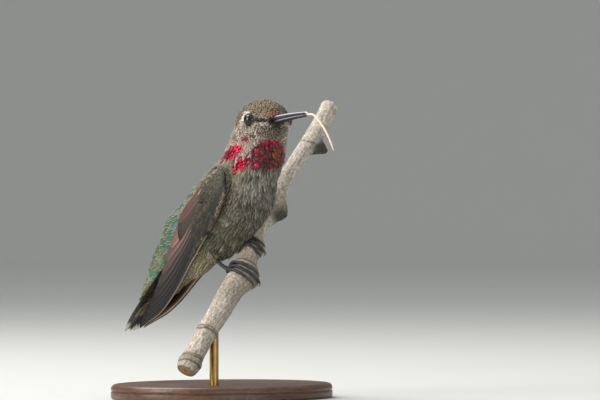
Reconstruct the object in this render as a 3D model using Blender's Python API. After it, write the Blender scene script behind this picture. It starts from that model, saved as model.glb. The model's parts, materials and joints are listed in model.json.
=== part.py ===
"""A life-size perched hummingbird, a young male of the Anna's kind, on a cut length of branch and a stand.

Sizes are in millimetres and become metres when a mesh is made. +X is where the body heads, +Y is the bird's
left, +Z is up, and the origin is the middle of the base's underside. The body is one smooth form, a blend of
named ellipsoids, and thin cuts part it into head, neck, trunk and rump.
"""

import math

import bmesh
import bpy
import numpy as np
from mathutils import Matrix, Vector

MM = 0.001

# Driving sizes.
BODY = Vector((3.6, 0.0, 50.8))  # the middle of the breast: the bird's own sizes are measured from here
WING_LENGTH = 49.5  # bend of the wing to its tip
BILL_LENGTH = 18.0
BILL_BASE_WIDTH, BILL_BASE_DEPTH = 2.3, 2.1
BILL_TIP_WIDTH, BILL_TIP_DEPTH = 0.9, 1.0
EYE_RADIUS = 1.75
HEAD_TURN, HEAD_LIFT = -24.0, 5.0  # degrees: the head looks to the bird's right, and a little up
BASE_LENGTH, BASE_WIDTH, BASE_HEIGHT = 60.0, 50.0, 3.6
ROD_RADIUS = 1.1

CUT = 0.16  # the gap of a parting cut
FIT = 0.15  # the gap round a piece that sits in another
LAYER = 0.12  # the gap between one layer of feathers and the next
BLADE = 0.5  # thickness of a layer of flight feathers
CAMBER = 0.15  # how much a layer bulges in the middle

COLOURS = {  # base colour, roughness
    "plumage_olive": ((0.17, 0.15, 0.11), 0.6),
    "plumage_grey": ((0.20, 0.20, 0.17), 0.7),
    "gorget_red": ((0.35, 0.03, 0.06), 0.35),
    "plumage_green": ((0.10, 0.19, 0.12), 0.45),
    "flight_feather": ((0.045, 0.038, 0.04), 0.5),
    "tail_feather": ((0.05, 0.045, 0.04), 0.5),
    "eye": ((0.008, 0.008, 0.01), 0.05),
    "bill": ((0.03, 0.03, 0.035), 0.35),
    "tongue": ((0.62, 0.54, 0.42), 0.3),
    "foot": ((0.025, 0.025, 0.027), 0.5),
    "bark": ((0.36, 0.32, 0.28), 0.85),
    "stand_wood": ((0.10, 0.055, 0.03), 0.4),
    "stand_metal": ((0.5, 0.42, 0.25), 0.3),
}


# ---------------------------------------------------------------- objects and meshes


def clear_scene():
    for obj in list(bpy.data.objects):
        bpy.data.objects.remove(obj)


def material(name):
    found = bpy.data.materials.get(name)
    if found:
        return found
    colour, roughness = COLOURS[name]
    made = bpy.data.materials.new(name)
    made.use_nodes = True
    shader = made.node_tree.nodes["Principled BSDF"]
    shader.inputs["Base Color"].default_value = (*colour, 1)
    shader.inputs["Roughness"].default_value = roughness
    shader.inputs["Metallic"].default_value = 1.0 if name == "stand_metal" else 0.0
    return made


def solid(name, points, faces, look, sharp=40):
    """An object from points in millimetres, with its normals made to point outwards."""
    mesh = bpy.data.meshes.new(name)
    mesh.from_pydata([Vector(p) * MM for p in points], [], faces)
    work = bmesh.new()
    work.from_mesh(mesh)
    bmesh.ops.recalc_face_normals(work, faces=work.faces)
    work.to_mesh(mesh)
    work.free()
    mesh.shade_smooth()
    mesh.set_sharp_from_angle(angle=math.radians(sharp))
    mesh.materials.append(material(look))
    obj = bpy.data.objects.new(name, mesh)
    bpy.context.scene.collection.objects.link(obj)
    return obj


def as_cutter(obj):
    obj.hide_render = True
    obj.display_type = "WIRE"
    return obj


def boolean(obj, other, operation="DIFFERENCE"):
    modifier = obj.modifiers.new(operation.lower(), "BOOLEAN")
    modifier.operation = operation
    modifier.object = other
    return obj


def skin_over(rings, start=None, end=None):
    """Points and faces of a closed tube through equal rings, with a pole or a flat cap at each end."""
    count = len(rings[0])
    points = [p for ring in rings for p in ring]
    faces = []
    for row in range(len(rings) - 1):
        low, high = row * count, (row + 1) * count
        for i in range(count):
            j = (i + 1) % count
            faces.append((low + i, low + j, high + j, high + i))
    for pole, first in ((start, 0), (end, (len(rings) - 1) * count)):
        if pole is None:
            faces.append(tuple(range(first, first + count)))
            continue
        points.append(pole)
        top = len(points) - 1
        faces += [(first + i, first + (i + 1) % count, top) for i in range(count)]
    return points, faces


def frames_along(path, up=Vector((0, 0, 1))):
    """(point, tangent, side, up) at each point of a path, carried along without twist."""
    frames = []
    side = None
    for i, point in enumerate(path):
        ahead, behind = path[min(i + 1, len(path) - 1)], path[max(i - 1, 0)]
        tangent = (ahead - behind).normalized()
        side = tangent.cross(up) if side is None else side - tangent * side.dot(tangent)
        side.normalize()
        frames.append((point, tangent, side, side.cross(tangent).normalized()))
    return frames


def smooth_path(knots, count, start=0.0, stop=1.0):
    """Points of a Catmull-Rom curve through the knots, evenly spaced in its own parameter."""
    spans = len(knots) - 1
    ends = [knots[0] * 2 - knots[1], *knots, knots[-1] * 2 - knots[-2]]
    points = []
    for i in range(count):
        t = (start + (stop - start) * i / (count - 1)) * spans
        k = min(int(t), spans - 1)
        f = t - k
        a, b, c, d = ends[k : k + 4]
        points.append(
            (b * 2 + (c - a) * f + (a * 2 - b * 5 + c * 4 - d) * f**2 + (b * 3 - a - c * 3 + d) * f**3) / 2
        )
    return points


def tube(path, radius_at, sides, flat=1.0, round_start=False, round_end=False, up=Vector((0, 0, 1))):
    """Points and faces of a tube on a path; radius_at(0..1) is its radius, flat squeezes it along its up."""
    frames = frames_along(path, up)
    rings = []
    for i, (point, _, side, top) in enumerate(frames):
        radius = radius_at(i / (len(frames) - 1))
        turn = [2 * math.pi * k / sides for k in range(sides)]
        rings.append([point + side * radius * math.cos(a) + top * radius * flat * math.sin(a) for a in turn])
    first, last = frames[0], frames[-1]
    start = first[0] - first[1] * radius_at(0) * 0.6 if round_start else None
    end = last[0] + last[1] * radius_at(1) * 0.6 if round_end else None
    return skin_over(rings, start, end)


def ease(low, high, x):
    t = max(0.0, min(1.0, (x - low) / (high - low)))
    return t * t * (3 - 2 * t)


# ---------------------------------------------------------------- the body's form


HEAD = BODY + Vector((9.0, -0.4, 16.9))  # the middle of the skull
HEAD_TO_WORLD = Matrix.Rotation(math.radians(HEAD_TURN), 3, "Z") @ Matrix.Rotation(
    math.radians(-HEAD_LIFT), 3, "Y"
)


def in_head(forward, left, up):
    """A place measured from the middle of the skull, along the way the head looks."""
    return HEAD + HEAD_TO_WORLD @ Vector((forward, left, up))


# Each form: place from BODY (or from HEAD), pitch in degrees, half length, half width and half depth.
TRUNK_FORMS = {
    "throat": ((6.9, -0.1, 8.5), 69, (8.2, 6.7, 7.5)),
    "breast": ((2.1, 0.0, -0.2), 57, (11.1, 7.4, 9.5)),
    "belly": ((-3.3, 0.0, -5.7), 48, (12.9, 6.9, 10.0)),
    "mantle": ((-7.9, 0.0, -5.7), 49, (12.2, 5.8, 6.9)),
    "vent": ((-12.4, 0.0, -11.8), 47, (9.6, 5.4, 9.0)),
    "rump": ((-17.7, 0.0, -17.0), 44, (9.4, 4.0, 6.6)),
    "tail_coverts": ((-23.4, 0.0, -22.5), 50, (7.5, 3.6, 2.7)),
}
HEAD_FORMS = {
    "skull": ((0.5, 0.0, -0.5), 0, (7.1, 6.3, 5.5)),
    "face": ((3.3, 0.0, -0.8), -4, (4.4, 3.5, 3.1)),
    "cheeks": ((-0.8, 0.0, -4.1), 20, (6.2, 6.2, 4.9)),
}
BLEND = 0.8  # how softly the forms run into each other


def form_table():
    rows = []
    for place, pitch, half in TRUNK_FORMS.values():
        turn = Matrix.Rotation(math.radians(-pitch), 3, "Y")
        rows.append((BODY + Vector(place), turn, half))
    for place, pitch, half in HEAD_FORMS.values():
        turn = HEAD_TO_WORLD @ Matrix.Rotation(math.radians(-pitch), 3, "Y")
        rows.append((in_head(*place), turn, half))
    return rows


FORMS = form_table()


def depth_of(points):
    """How far each point is outside the blended body, roughly in millimetres; inside it is negative."""
    points = np.asarray(points, float)
    total = np.zeros(len(points))
    for centre, turn, half in FORMS:
        local = (points - np.array(centre)) @ np.array(turn)
        half = np.array(half)
        near = np.linalg.norm(local / half, axis=1)
        slope = np.linalg.norm(local / half**2, axis=1)
        total += np.exp(-near * (near - 1) / np.maximum(slope, 1e-6) / BLEND)
    return -BLEND * np.log(np.maximum(total, 1e-30))


def cast(start, directions, lift=0.0, reach=24.0):
    """Where rays from inside the body leave it, lift millimetres outside its surface."""
    directions = np.asarray(directions, float)
    start = np.asarray(start, float)
    steps = np.arange(0.0, reach, 0.5)
    low = np.zeros(len(directions))
    for step in steps:
        outside = depth_of(start + directions * step) > lift
        low = np.where(~outside, step, low)
    high = low + 0.5
    for _ in range(14):
        middle = (low + high) / 2
        outside = depth_of(start + directions * middle[:, None]) > lift
        low, high = np.where(outside, low, middle), np.where(outside, middle, high)
    return start + directions * ((low + high) / 2)[:, None]


SPINE = [
    BODY + Vector((-25.5, 0.0, -25.6)),
    BODY + Vector((-17.0, 0.0, -17.4)),
    BODY + Vector((-8.5, 0.0, -9.6)),
    BODY + Vector((-0.8, 0.0, -1.8)),
    BODY + Vector((4.4, 0.0, 5.6)),
    BODY + Vector((8.2, -0.2, 14.0)),
]
AROUND = 24  # points in one ring of the body
HEAD_ROWS = 11


def spine_frames(low, high, count):
    """Frames on the stretch of the spine from low to high, each with the curve's true direction there."""
    step = 1e-3
    found = []
    for i in range(count):
        t = low + (high - low) * i / (count - 1)
        behind, here, ahead = smooth_path(SPINE, 3, t - step, t + step)
        found.append((here, (ahead - behind).normalized()))
    return found


def body_ring(centre, tangent, lean=0.0):
    """One ring of the body's surface; lean tips its rays from square towards the tangent, in degrees."""
    side = tangent.cross(Vector((0, 0, 1))).normalized()
    top = side.cross(tangent).normalized()
    rays = []
    for k in range(AROUND):
        angle = 2 * math.pi * k / AROUND
        square = side * math.cos(angle) + top * math.sin(angle)
        rays.append(square * math.cos(math.radians(lean)) + tangent * math.sin(math.radians(lean)))
    return [Vector(p) for p in cast(centre, rays)]


def body_part(name, low, high, count, look, open_start=True, open_end=True):
    """The stretch of the body between two parts of the spine. An end that isn't a cut gets a dome."""
    frames = spine_frames(low, high, count)
    if open_start:
        frames[0] = (frames[0][0] + frames[0][1] * CUT / 2, frames[0][1])
    if open_end:
        frames[-1] = (frames[-1][0] - frames[-1][1] * CUT / 2, frames[-1][1])
    rings = [body_ring(*frame) for frame in frames]
    start = end = None
    leans = (24, 46, 66)
    if not open_start:
        centre, tangent = frames[0]
        rings = [body_ring(centre, tangent, -lean) for lean in reversed(leans)] + rings
        start = Vector(cast(centre, [-tangent])[0])
    if not open_end:
        centre, tangent = frames[-1]
        rings += [body_ring(centre, tangent, lean) for lean in leans]
        end = Vector(cast(centre, [tangent])[0])
    points, faces = skin_over(rings, start, end)
    return solid(name, points, faces, look)


def build_head(cut):
    """The head: rays from inside the skull, fanned from the forehead to the ring where the neck is cut."""
    middle, tangent = spine_frames(cut, cut, 2)[0]
    middle = middle + tangent * CUT / 2
    rim = body_ring(middle, tangent)
    start = in_head(0.2, 0.0, -0.9)
    pole = HEAD_TO_WORLD @ Vector((math.cos(math.radians(30)), 0, math.sin(math.radians(30))))
    rings = []
    for row in range(1, HEAD_ROWS):
        rays = [pole.slerp((p - start).normalized(), row / HEAD_ROWS) for p in rim]
        rings.append([Vector(p) for p in cast(start, rays)])
    crown = Vector(cast(start, [pole])[0])
    return solid("head", *skin_over([*rings, rim], start=crown), "plumage_olive")




# ---------------------------------------------------------------- head pieces


EYE_WAY = (2.6, 4.9, 0.15)  # from the middle of the skull to where an eye looks out: forward, out, up
EYE_DEPTH = 1.15  # how deep the middle of the ball lies under the face


def eye_middle(out):
    """Middle of an eye: EYE_DEPTH under the surface, straight in from it."""
    forward, across, up = EYE_WAY
    way = HEAD_TO_WORLD @ Vector((forward, across * out, up)).normalized()
    spot = cast(HEAD, [way])[0]
    step = 0.05
    slope = [depth_of([spot + step * axis])[0] - depth_of([spot - step * axis])[0] for axis in np.eye(3)]
    return Vector(spot) - Vector(slope).normalized() * EYE_DEPTH


def build_eyes(head):
    for side, out in (("right", -1), ("left", 1)):
        centre = eye_middle(out)
        for name, radius in ((f"eye_{side}", EYE_RADIUS), (f"cutter_socket_{side}", EYE_RADIUS + FIT)):
            work = bmesh.new()
            bmesh.ops.create_uvsphere(work, u_segments=14, v_segments=9, radius=radius)
            points = [v.co + centre for v in work.verts]
            faces = [[v.index for v in f.verts] for f in work.faces]
            work.free()
            ball = solid(name, points, faces, "eye", sharp=180)
        boolean(head, as_cutter(ball))


BILL_PLACE = (6.0, 0.0, -0.95)  # where the bill leaves the face, from the middle of the skull
BILL_ROWS = 9
BILL_ARCH = 0.2


def bill_half(along):
    """Half width and half depth of the closed bill, this far from the face."""
    share = max(0.0, along) / BILL_LENGTH
    slim = 1 - (1 - share) ** 1.2
    width = BILL_BASE_WIDTH + (BILL_TIP_WIDTH - BILL_BASE_WIDTH) * slim
    depth = BILL_BASE_DEPTH + (BILL_TIP_DEPTH - BILL_BASE_DEPTH) * slim
    return width / 2, depth / 2


def bill_point(along, across, up):
    """A place on the bill, which arches gently from its root to its tip."""
    forward, left, above = BILL_PLACE
    arch = BILL_ARCH * math.sin(math.pi * min(1.0, max(0.0, along / BILL_LENGTH)))
    return in_head(forward + along, left + across, above + arch + up)


def build_bill(head):
    """Two half-round mandibles, one over the other, and the room they sit in."""
    root = -1.2
    places = [root + (BILL_LENGTH - root) * i / (BILL_ROWS - 1) for i in range(BILL_ROWS)]
    for name, sign, share in (("bill_upper", 1, 1.1), ("bill_lower", -1, 0.9)):
        rings = []
        for along in places:
            wide, deep = bill_half(along)
            turns = [math.pi * k / 8 for k in range(9)]
            arc = [(wide * math.cos(t), sign * (FIT / 2 + deep * share * math.sin(t))) for t in turns]
            rings.append([bill_point(along, across, up) for across, up in arc])
        solid(name, *skin_over(rings), "bill", sharp=50)
    rings = []
    for along in (root - FIT, 0.5, 2.5):
        wide, deep = bill_half(along)
        turns = [2 * math.pi * (k + 0.5) / 12 for k in range(12)]
        arc = [((wide + FIT) * math.cos(t), (deep * 1.1 + 1.6 * FIT) * math.sin(t)) for t in turns]
        rings.append([bill_point(along, across, up) for across, up in arc])
    boolean(head, as_cutter(solid("cutter_bill", *skin_over(rings), "bill")))


TONGUE_KNOTS = [(0.35, 0.0, 0.0), (2.6, 0.1, -0.5), (5.6, 0.4, -2.9), (8.2, 0.8, -6.2), (9.9, 1.1, -9.6)]


def build_tongue():
    knots = [bill_point(BILL_LENGTH + f, s, u) for f, s, u in TONGUE_KNOTS]
    path = smooth_path(knots, 14)
    points, faces = tube(path, lambda t: 0.30 - 0.04 * t, 7, round_start=True, round_end=True)
    return solid("tongue", points, faces, "tongue")


# ---------------------------------------------------------------- wings and tail


# The folded wing, row by row from its bend to its tip: where its back edge and its front edge lie, from
# BODY, each as forward, out and up. The two wings meet under the tail.
WING_ROWS = [
    ((1.4, 6.2, 6.2), (4.7, 7.0, 3.3)),
    ((-2.0, 6.1, 3.4), (4.2, 7.4, -0.9)),
    ((-4.6, 6.4, 0.1), (1.9, 7.2, -5.2)),
    ((-7.9, 6.4, -3.8), (-1.4, 6.6, -9.3)),
    ((-10.9, 6.2, -7.3), (-4.8, 5.8, -12.4)),
    ((-13.5, 5.8, -11.1), (-8.1, 4.8, -15.8)),
    ((-16.1, 5.3, -15.2), (-11.4, 3.9, -19.2)),
    ((-18.5, 4.7, -19.9), (-14.9, 3.1, -23.1)),
    ((-21.2, 4.0, -24.4), (-18.3, 2.4, -27.0)),
    ((-24.4, 3.0, -28.5), (-22.2, 1.6, -30.5)),
    ((-27.1, 1.9, -31.5), (-25.9, 1.0, -32.5)),
    ((-29.8, 0.75, -34.0), (-29.2, 0.5, -34.4)),
]
WING_ROOM = 0.3  # between the body and the wing


def wing_place(along, across, side):
    """A place on the folded wing's inner face: along 0..1 is bend to tip, across 0..1 is back to front."""
    if side > 0:  # the left wing is drawn in where the branch passes its front edge
        across *= 1 - 0.15 * ease(0.0, 0.15, along) * (1 - ease(0.3, 0.5, along))
    back = smooth_path([Vector(row[0]) for row in WING_ROWS], 2, along, 1.0)[0]
    front = smooth_path([Vector(row[1]) for row in WING_ROWS], 2, along, 1.0)[0]
    return back.lerp(front, across)


def flank(x, z, resting):
    """How far out the wing's inner face lies: where it would rest, or just outside a wider body."""
    across = np.linspace(0, 12, 49)
    column = np.column_stack([np.full(49, BODY.x + x), across, np.full(49, BODY.z + z)])
    inside = np.nonzero(depth_of(column) <= 0)[0]
    if not len(inside):
        return resting
    low, high = across[inside[-1]], across[inside[-1]] + 0.25
    for _ in range(10):
        middle = (low + high) / 2
        if depth_of([[BODY.x + x, middle, BODY.z + z]])[0] <= 0:
            low = middle
        else:
            high = middle
    softness = 0.4
    return softness * math.log(math.exp(resting / softness) + math.exp((high + WING_ROOM) / softness))


def plate(name, inner, outer, rows, columns, look):
    """A closed plate between two grids of points."""
    half = rows * columns
    faces = []
    for i in range(rows - 1):
        for k in range(columns - 1):
            a = i * columns + k
            quad = (a, a + 1, a + columns + 1, a + columns)
            faces += [quad, tuple(half + v for v in reversed(quad))]
    rim = list(range(columns)) + [i * columns + columns - 1 for i in range(1, rows)]
    rim += [(rows - 1) * columns + k for k in range(columns - 2, -1, -1)]
    rim += [i * columns for i in range(rows - 2, 0, -1)]
    faces += [(a, half + a, half + b, b) for a, b in zip(rim, rim[1:] + rim[:1])]
    return solid(name, inner + outer, faces, look, sharp=50)


def wing_layer(name, rows, columns, span, across, lift, thick, side, look, rounding=0.0):
    """A plate of feathers on the flank: span is its stretch along the wing, across its share of width."""
    inner, outer = [], []
    for i in range(rows):
        share = i / (rows - 1)
        for k in range(columns):
            lane = k / (columns - 1)
            end = span[1] - rounding * (2 * lane - 1) ** 2
            down = span[0] + (end - span[0]) * share
            spot = wing_place(down, across[0] + (across[1] - across[0]) * lane, side)
            base = flank(spot.x, spot.z, spot.y) + lift
            top = base + thick + CAMBER * math.sin(math.pi * lane)
            inner.append(BODY + Vector((spot.x, side * base, spot.z)))
            outer.append(BODY + Vector((spot.x, side * top, spot.z)))
    return plate(name, inner, outer, rows, columns, look)


def build_wing(word, side):
    """Three pieces: the long primaries under, the secondaries and the coverts side by side over them."""
    wing_layer(
        f"wing_{word}_primaries", 15, 6, (0.04, 0.997), (0.0, 1.0), 0.0, BLADE, side, "flight_feather"
    )
    over = BLADE + CAMBER + LAYER
    wing_layer(
        f"wing_{word}_secondaries", 8, 5, (0.03, 0.44), (0.0, 0.40), over, BLADE, side, "flight_feather",
        rounding=0.06,
    )
    wing_layer(
        f"wing_{word}_coverts", 8, 6, (0.0, 0.36), (0.44, 1.0), over, BLADE, side, "plumage_green",
        rounding=0.05,
    )


TAIL_ROOT = BODY + Vector((-16.2, 0.0, -14.4))
TAIL_TIP = BODY + Vector((-33.6, 0.0, -35.1))
TAIL_FEATHERS = 5  # on each side
TAIL_LENGTH = (TAIL_TIP - TAIL_ROOT).length
TAIL_DOWN = (TAIL_TIP - TAIL_ROOT).normalized()
TAIL_ABOVE = Vector((TAIL_DOWN.z, 0, -TAIL_DOWN.x))
TAIL_THICK = 0.8


def tail_point(along, across, height=0.0):
    """A place on the tail: along 0..1 from root to tip, across in millimetres, height above its plane."""
    arch = -0.035 * across**2
    down = TAIL_ROOT + TAIL_DOWN * (along * TAIL_LENGTH)
    return down + Vector((0, across, 0)) + TAIL_ABOVE * (arch + height)


def tail_feather(rank, along):
    """Middle of a folded tail feather's vane and its half width; rank is 1 in the middle to 5 outside."""
    out = (rank - 0.5) / (TAIL_FEATHERS - 0.5)
    spread = 1.5 + 2.3 * math.sin(math.pi * min(0.92, 0.12 + along * 0.62)) - 0.9 * along**4
    half = 0.9 + 1.5 * math.sin(math.pi * (0.10 + 0.66 * along))
    return spread * out, half * (1 - 0.12 * out)


def build_tail():
    """The ten folded tail feathers as one plate with ridges where they overlap and a scalloped end."""
    shares = (-0.75, 0.05, 0.85)
    columns = [(side * rank, share) for side in (-1, 1) for rank in range(1, 6) for share in shares]
    rows = 8
    top, bottom = [], []
    for i in range(rows):
        line = []
        for number, share in columns:
            rank = abs(number)
            end = 1.0 - 0.008 * abs(rank - 2.5) ** 1.5 - 0.07 * abs(share) ** 2.2
            along = 0.03 + (end - 0.03) * i / (rows - 1)
            middle, half = tail_feather(rank, along)
            line.append([middle + share * half, along, math.copysign(1, number), share])
        side_lines = {}
        for side in (-1, 1):
            lane = sorted(c for c in line if c[2] == side)
            across = max(0.1, lane[0][0])
            for cell in lane:
                cell[0] = across = max(cell[0], across + 0.13)
            side_lines[side] = lane
        ordered = [[-c[0], *c[1:]] for c in reversed(side_lines[-1])] + side_lines[1]
        for across, along, _, share in ordered:
            ridge = 0.07 * (1 if share > 0 else -1)
            top.append(tail_point(along, across, TAIL_THICK / 2 + ridge))
            bottom.append(tail_point(along, across, -TAIL_THICK / 2 + ridge))
    return plate("tail", top, bottom, rows, len(columns), "tail_feather")


def tail_slot(rump):
    """Room for the tail's plate between the feathers over it and under it."""
    rings = []
    for i in range(5):
        along = -0.02 + 1.1 * i / 4
        ring = []
        for height, sign in ((TAIL_THICK / 2 + 0.07 + FIT, 1), (-TAIL_THICK / 2 - 0.07 - FIT, -1)):
            ring += [tail_point(along, sign * (8.0 - 2.0 * k), height) for k in range(9)]
        rings.append(ring)
    boolean(rump, as_cutter(solid("cutter_tail_slot", *skin_over(rings), "tail_feather")))


# ---------------------------------------------------------------- perch and feet


BRANCH_FOOT = BODY + Vector((3.67, -2.0, -20.73))  # on the branch's middle line, under the right foot
BRANCH_WAY = Vector((0.036, 0.634, 0.773)).normalized()
ACROSS = (Vector((1, 0, 0)) - BRANCH_WAY * BRANCH_WAY.x).normalized()  # forward, square to the branch
TOPSIDE = ACROSS.cross(BRANCH_WAY).normalized()  # the side of the branch that faces up
# Along the branch from its lower cut to its upper: how far forward its middle line wanders, and its radius.
BRANCH_KNOTS = [
    (-29.5, -0.75, 2.45),
    (-23.7, -0.9, 2.45),
    (-17.4, -0.95, 2.45),
    (-14.2, -0.5, 2.5),
    (-11.1, -0.3, 2.65),
    (-7.9, -0.35, 2.8),
    (-4.7, -0.25, 2.85),
    (-1.6, 0.0, 2.75),
    (4.1, -0.2, 2.35),
    (9.4, -1.45, 2.25),
    (13.2, -2.05, 2.1),
    (17.3, -2.05, 2.05),
    (23.6, -2.2, 2.03),
    (29.9, -2.2, 2.0),
    (36.2, -1.7, 2.0),
    (42.6, -0.95, 2.05),
    (48.9, -0.4, 2.15),
    (54.0, -0.6, 2.3),
]
BRANCH_LOW, BRANCH_HIGH = BRANCH_KNOTS[0][0], BRANCH_KNOTS[-1][0]
# Swollen rings left by old buds: distance along, extra radius, half length.
BRANCH_RINGS = [(-27.0, 0.5, 1.3), (-17.6, 0.3, 0.8), (2.6, 0.35, 0.9), (8.0, 0.35, 1.2)]
# Lumps on one side: distance along, angle round it, height, half length, half angle.
BRANCH_LUMPS = [
    (0.2, 218, 2.2, 3.0, 52),
    (9.8, 222, 1.0, 2.2, 50),
    (21.4, 225, 2.5, 3.0, 45),
    (42.0, 226, 2.9, 1.6, 36),
]


def along_branch(column, along):
    places = [knot[0] for knot in BRANCH_KNOTS]
    return float(np.interp(along, places, [knot[column] for knot in BRANCH_KNOTS]))


def branch_middle(along):
    forward = sum(along_branch(1, along + step) for step in (-2, -1, 0, 1, 2)) / 5
    return BRANCH_FOOT + BRANCH_WAY * along + ACROSS * forward


def branch_radius(along, angle):
    radius = along_branch(2, along)
    for place, extra, half in BRANCH_RINGS:
        radius += extra * math.exp(-(((along - place) / half) ** 2))
    for place, facing, height, half, wide in BRANCH_LUMPS:
        turn = (angle - facing + 180) % 360 - 180
        radius += height * math.exp(-(((along - place) / half) ** 2) - (turn / wide) ** 2)
    return radius


def branch_place(along, angle, lift):
    """A place round the branch. Angle 0 is behind it, where the bird is, 90 on top and 180 in front."""
    turn = math.radians(angle)
    out = -ACROSS * math.cos(turn) + TOPSIDE * math.sin(turn)
    return branch_middle(along) + out * (branch_radius(along, angle) + lift)


def branch_rings(low, high, rows, lift_at):
    rings = []
    for i in range(rows):
        along = low + (high - low) * i / (rows - 1)
        rings.append([branch_place(along, 360 * k / 16, lift_at(along)) for k in range(16)])
    return rings


def build_perch():
    rings = branch_rings(BRANCH_LOW, BRANCH_HIGH, 40, lambda along: 0.0)
    return solid("perch_branch", *skin_over(rings), "bark")


def press_belly(trunk):
    """The feathers of the belly give way to the branch and the toes of the left foot."""

    def lift(along):
        return PRESS + 1.1 * math.exp(-(((along - FEET["left"] + 0.6) / 2.6) ** 4))

    boolean(trunk, as_cutter(solid("cutter_press", *skin_over(branch_rings(3.0, 22.0, 14, lift)), "bark")))


PRESS = 0.25  # room between the branch and the belly that leans on it
TOE_RADIUS = 0.42
FEET = {"right": 0.8, "left": 9.2}  # where each foot holds the branch
# Toe: where along the branch it starts and ends, then the angles round it where toe and claw end.
TOES = {
    "inner": (0.9, 0.6, 150, 205),
    "middle": (0.0, -0.9, 178, 232),
    "outer": (-0.9, -2.3, 160, 214),
    "hind": (-0.2, -1.2, -48, -88),
}
ANKLE_ANGLE, ANKLE_LIFT = 14, 0.95


def toe_path(foot, toe, low, high, count):
    start_along, end_along, toe_end, _ = TOES[toe]
    path = []
    for i in range(count):
        angle = low + (high - low) * i / (count - 1)
        share = (angle - ANKLE_ANGLE) / (toe_end - ANKLE_ANGLE)
        along = FEET[foot] + start_along + (end_along - start_along) * share
        knuckle = 0.10 * math.sin(math.pi * 3 * share) ** 2
        path.append(branch_place(along, angle, TOE_RADIUS + FIT + knuckle))
    return path


def build_leg(word, side, holders):
    """Shank and toes in one piece, and each claw. The leg leaves the feathers of the belly."""
    ankle = branch_place(FEET[word], ANKLE_ANGLE, ANKLE_LIFT)
    hip = BODY + Vector(LEG_TOPS[word])
    knee = ankle.lerp(hip, 0.45) + Vector((-0.5, 0, -0.25))
    path = smooth_path([ankle, knee, hip], 7)
    shank = solid(f"leg_{word}", *tube(path, lambda t: 0.58, 8, round_start=True, round_end=True), "foot")
    room = tube(path, lambda t: 0.58 + FIT, 8, round_end=True)
    cutter = as_cutter(solid(f"cutter_leg_{word}", *room, "foot"))
    for holder in holders:
        boolean(holder, cutter)
    for toe, (_, _, toe_end, claw_end) in TOES.items():
        way = 1 if toe_end > ANKLE_ANGLE else -1
        path = [ankle] + toe_path(word, toe, ANKLE_ANGLE + way * 16, toe_end, 7)
        shape = tube(path, lambda t: TOE_RADIUS * (1 - 0.15 * t), 7, round_start=True, round_end=True)
        boolean(shank, as_cutter(solid(f"cutter_{word}_toe_{toe}", *shape, "foot")), "UNION")
        path = toe_path(word, toe, toe_end + way * 13, claw_end, 5)
        shape = tube(path, lambda t: 0.36 * (1 - 0.5 * t), 6, round_end=True)
        solid(f"claw_{word}_{toe}", *shape, "foot")
    return shank


# Where each leg comes out of the belly's feathers, from BODY.
LEG_TOPS = {"right": (-4.2, -2.9, -15.6), "left": (-1.8, 3.2, -12.6)}


# ---------------------------------------------------------------- stand


ROD_PLACE = -14.0  # where along the branch the rod stands under it


def build_stand():
    """An oval base with a rounded top edge, and one rod from it into the underside of the branch."""
    sides = 36
    top = BASE_HEIGHT
    profile = [(-0.6, 0.0), (0.0, 0.6), (0.0, top - 1.2), (-0.35, top - 0.35), (-1.2, top)]
    rings = []
    for inset, height in profile:
        ring = []
        for k in range(sides):
            angle = 2 * math.pi * k / sides
            x = (BASE_WIDTH / 2 + inset) * math.cos(angle)
            y = (BASE_LENGTH / 2 + inset) * math.sin(angle)
            ring.append(Vector((x, y, height)))
        rings.append(ring)
    base = solid("stand_base", *skin_over(rings), "stand_wood")
    socket = branch_middle(ROD_PLACE)
    foot = Vector((socket.x, socket.y, 1.4))
    path = [foot.lerp(socket, k / 3) for k in range(4)]
    solid("stand_rod", *tube(path, lambda t: ROD_RADIUS, 14, up=Vector((1, 0, 0))), "stand_metal")
    hole_low, hole_high = foot - Vector((0, 0, FIT)), socket + Vector((0, 0, FIT))
    path = [hole_low.lerp(hole_high, k / 3) for k in range(4)]
    shape = tube(path, lambda t: ROD_RADIUS + FIT, 14, up=Vector((1, 0, 0)))
    hole = solid("cutter_rod", *shape, "stand_metal")
    boolean(base, as_cutter(hole))
    return hole


# ---------------------------------------------------------------- the whole


RUMP_CUT, NECK_CUT, HEAD_CUT = 0.30, 0.76, 0.965  # places of the parting cuts on the spine


def build_body():
    trunk = body_part("trunk", RUMP_CUT, NECK_CUT, 15, "plumage_grey")
    body_part("neck", NECK_CUT, HEAD_CUT, 6, "gorget_red")
    rump = body_part("rump", 0.0, RUMP_CUT, 9, "plumage_green", open_start=False)
    return trunk, rump, build_head(HEAD_CUT)


def main():
    clear_scene()
    trunk, rump, head = build_body()
    press_belly(trunk)
    build_eyes(head)
    build_bill(head)
    build_tongue()
    for word, side in (("right", -1), ("left", 1)):
        build_wing(word, side)
        build_leg(word, side, (trunk, rump))
    build_tail()
    tail_slot(rump)
    perch = build_perch()
    boolean(perch, build_stand())


main()
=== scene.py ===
# %% [markdown]
# # A perched hummingbird, feather by feather
# The bird is a skin covered with thin solid feathers, as a museum's model is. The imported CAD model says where
# everything is. Each step below first says what the piece is on the real bird and why it is made this way.

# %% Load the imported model
import json
import math

import bmesh
import bpy
import numpy as np
from mathutils import Matrix, Vector

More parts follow.
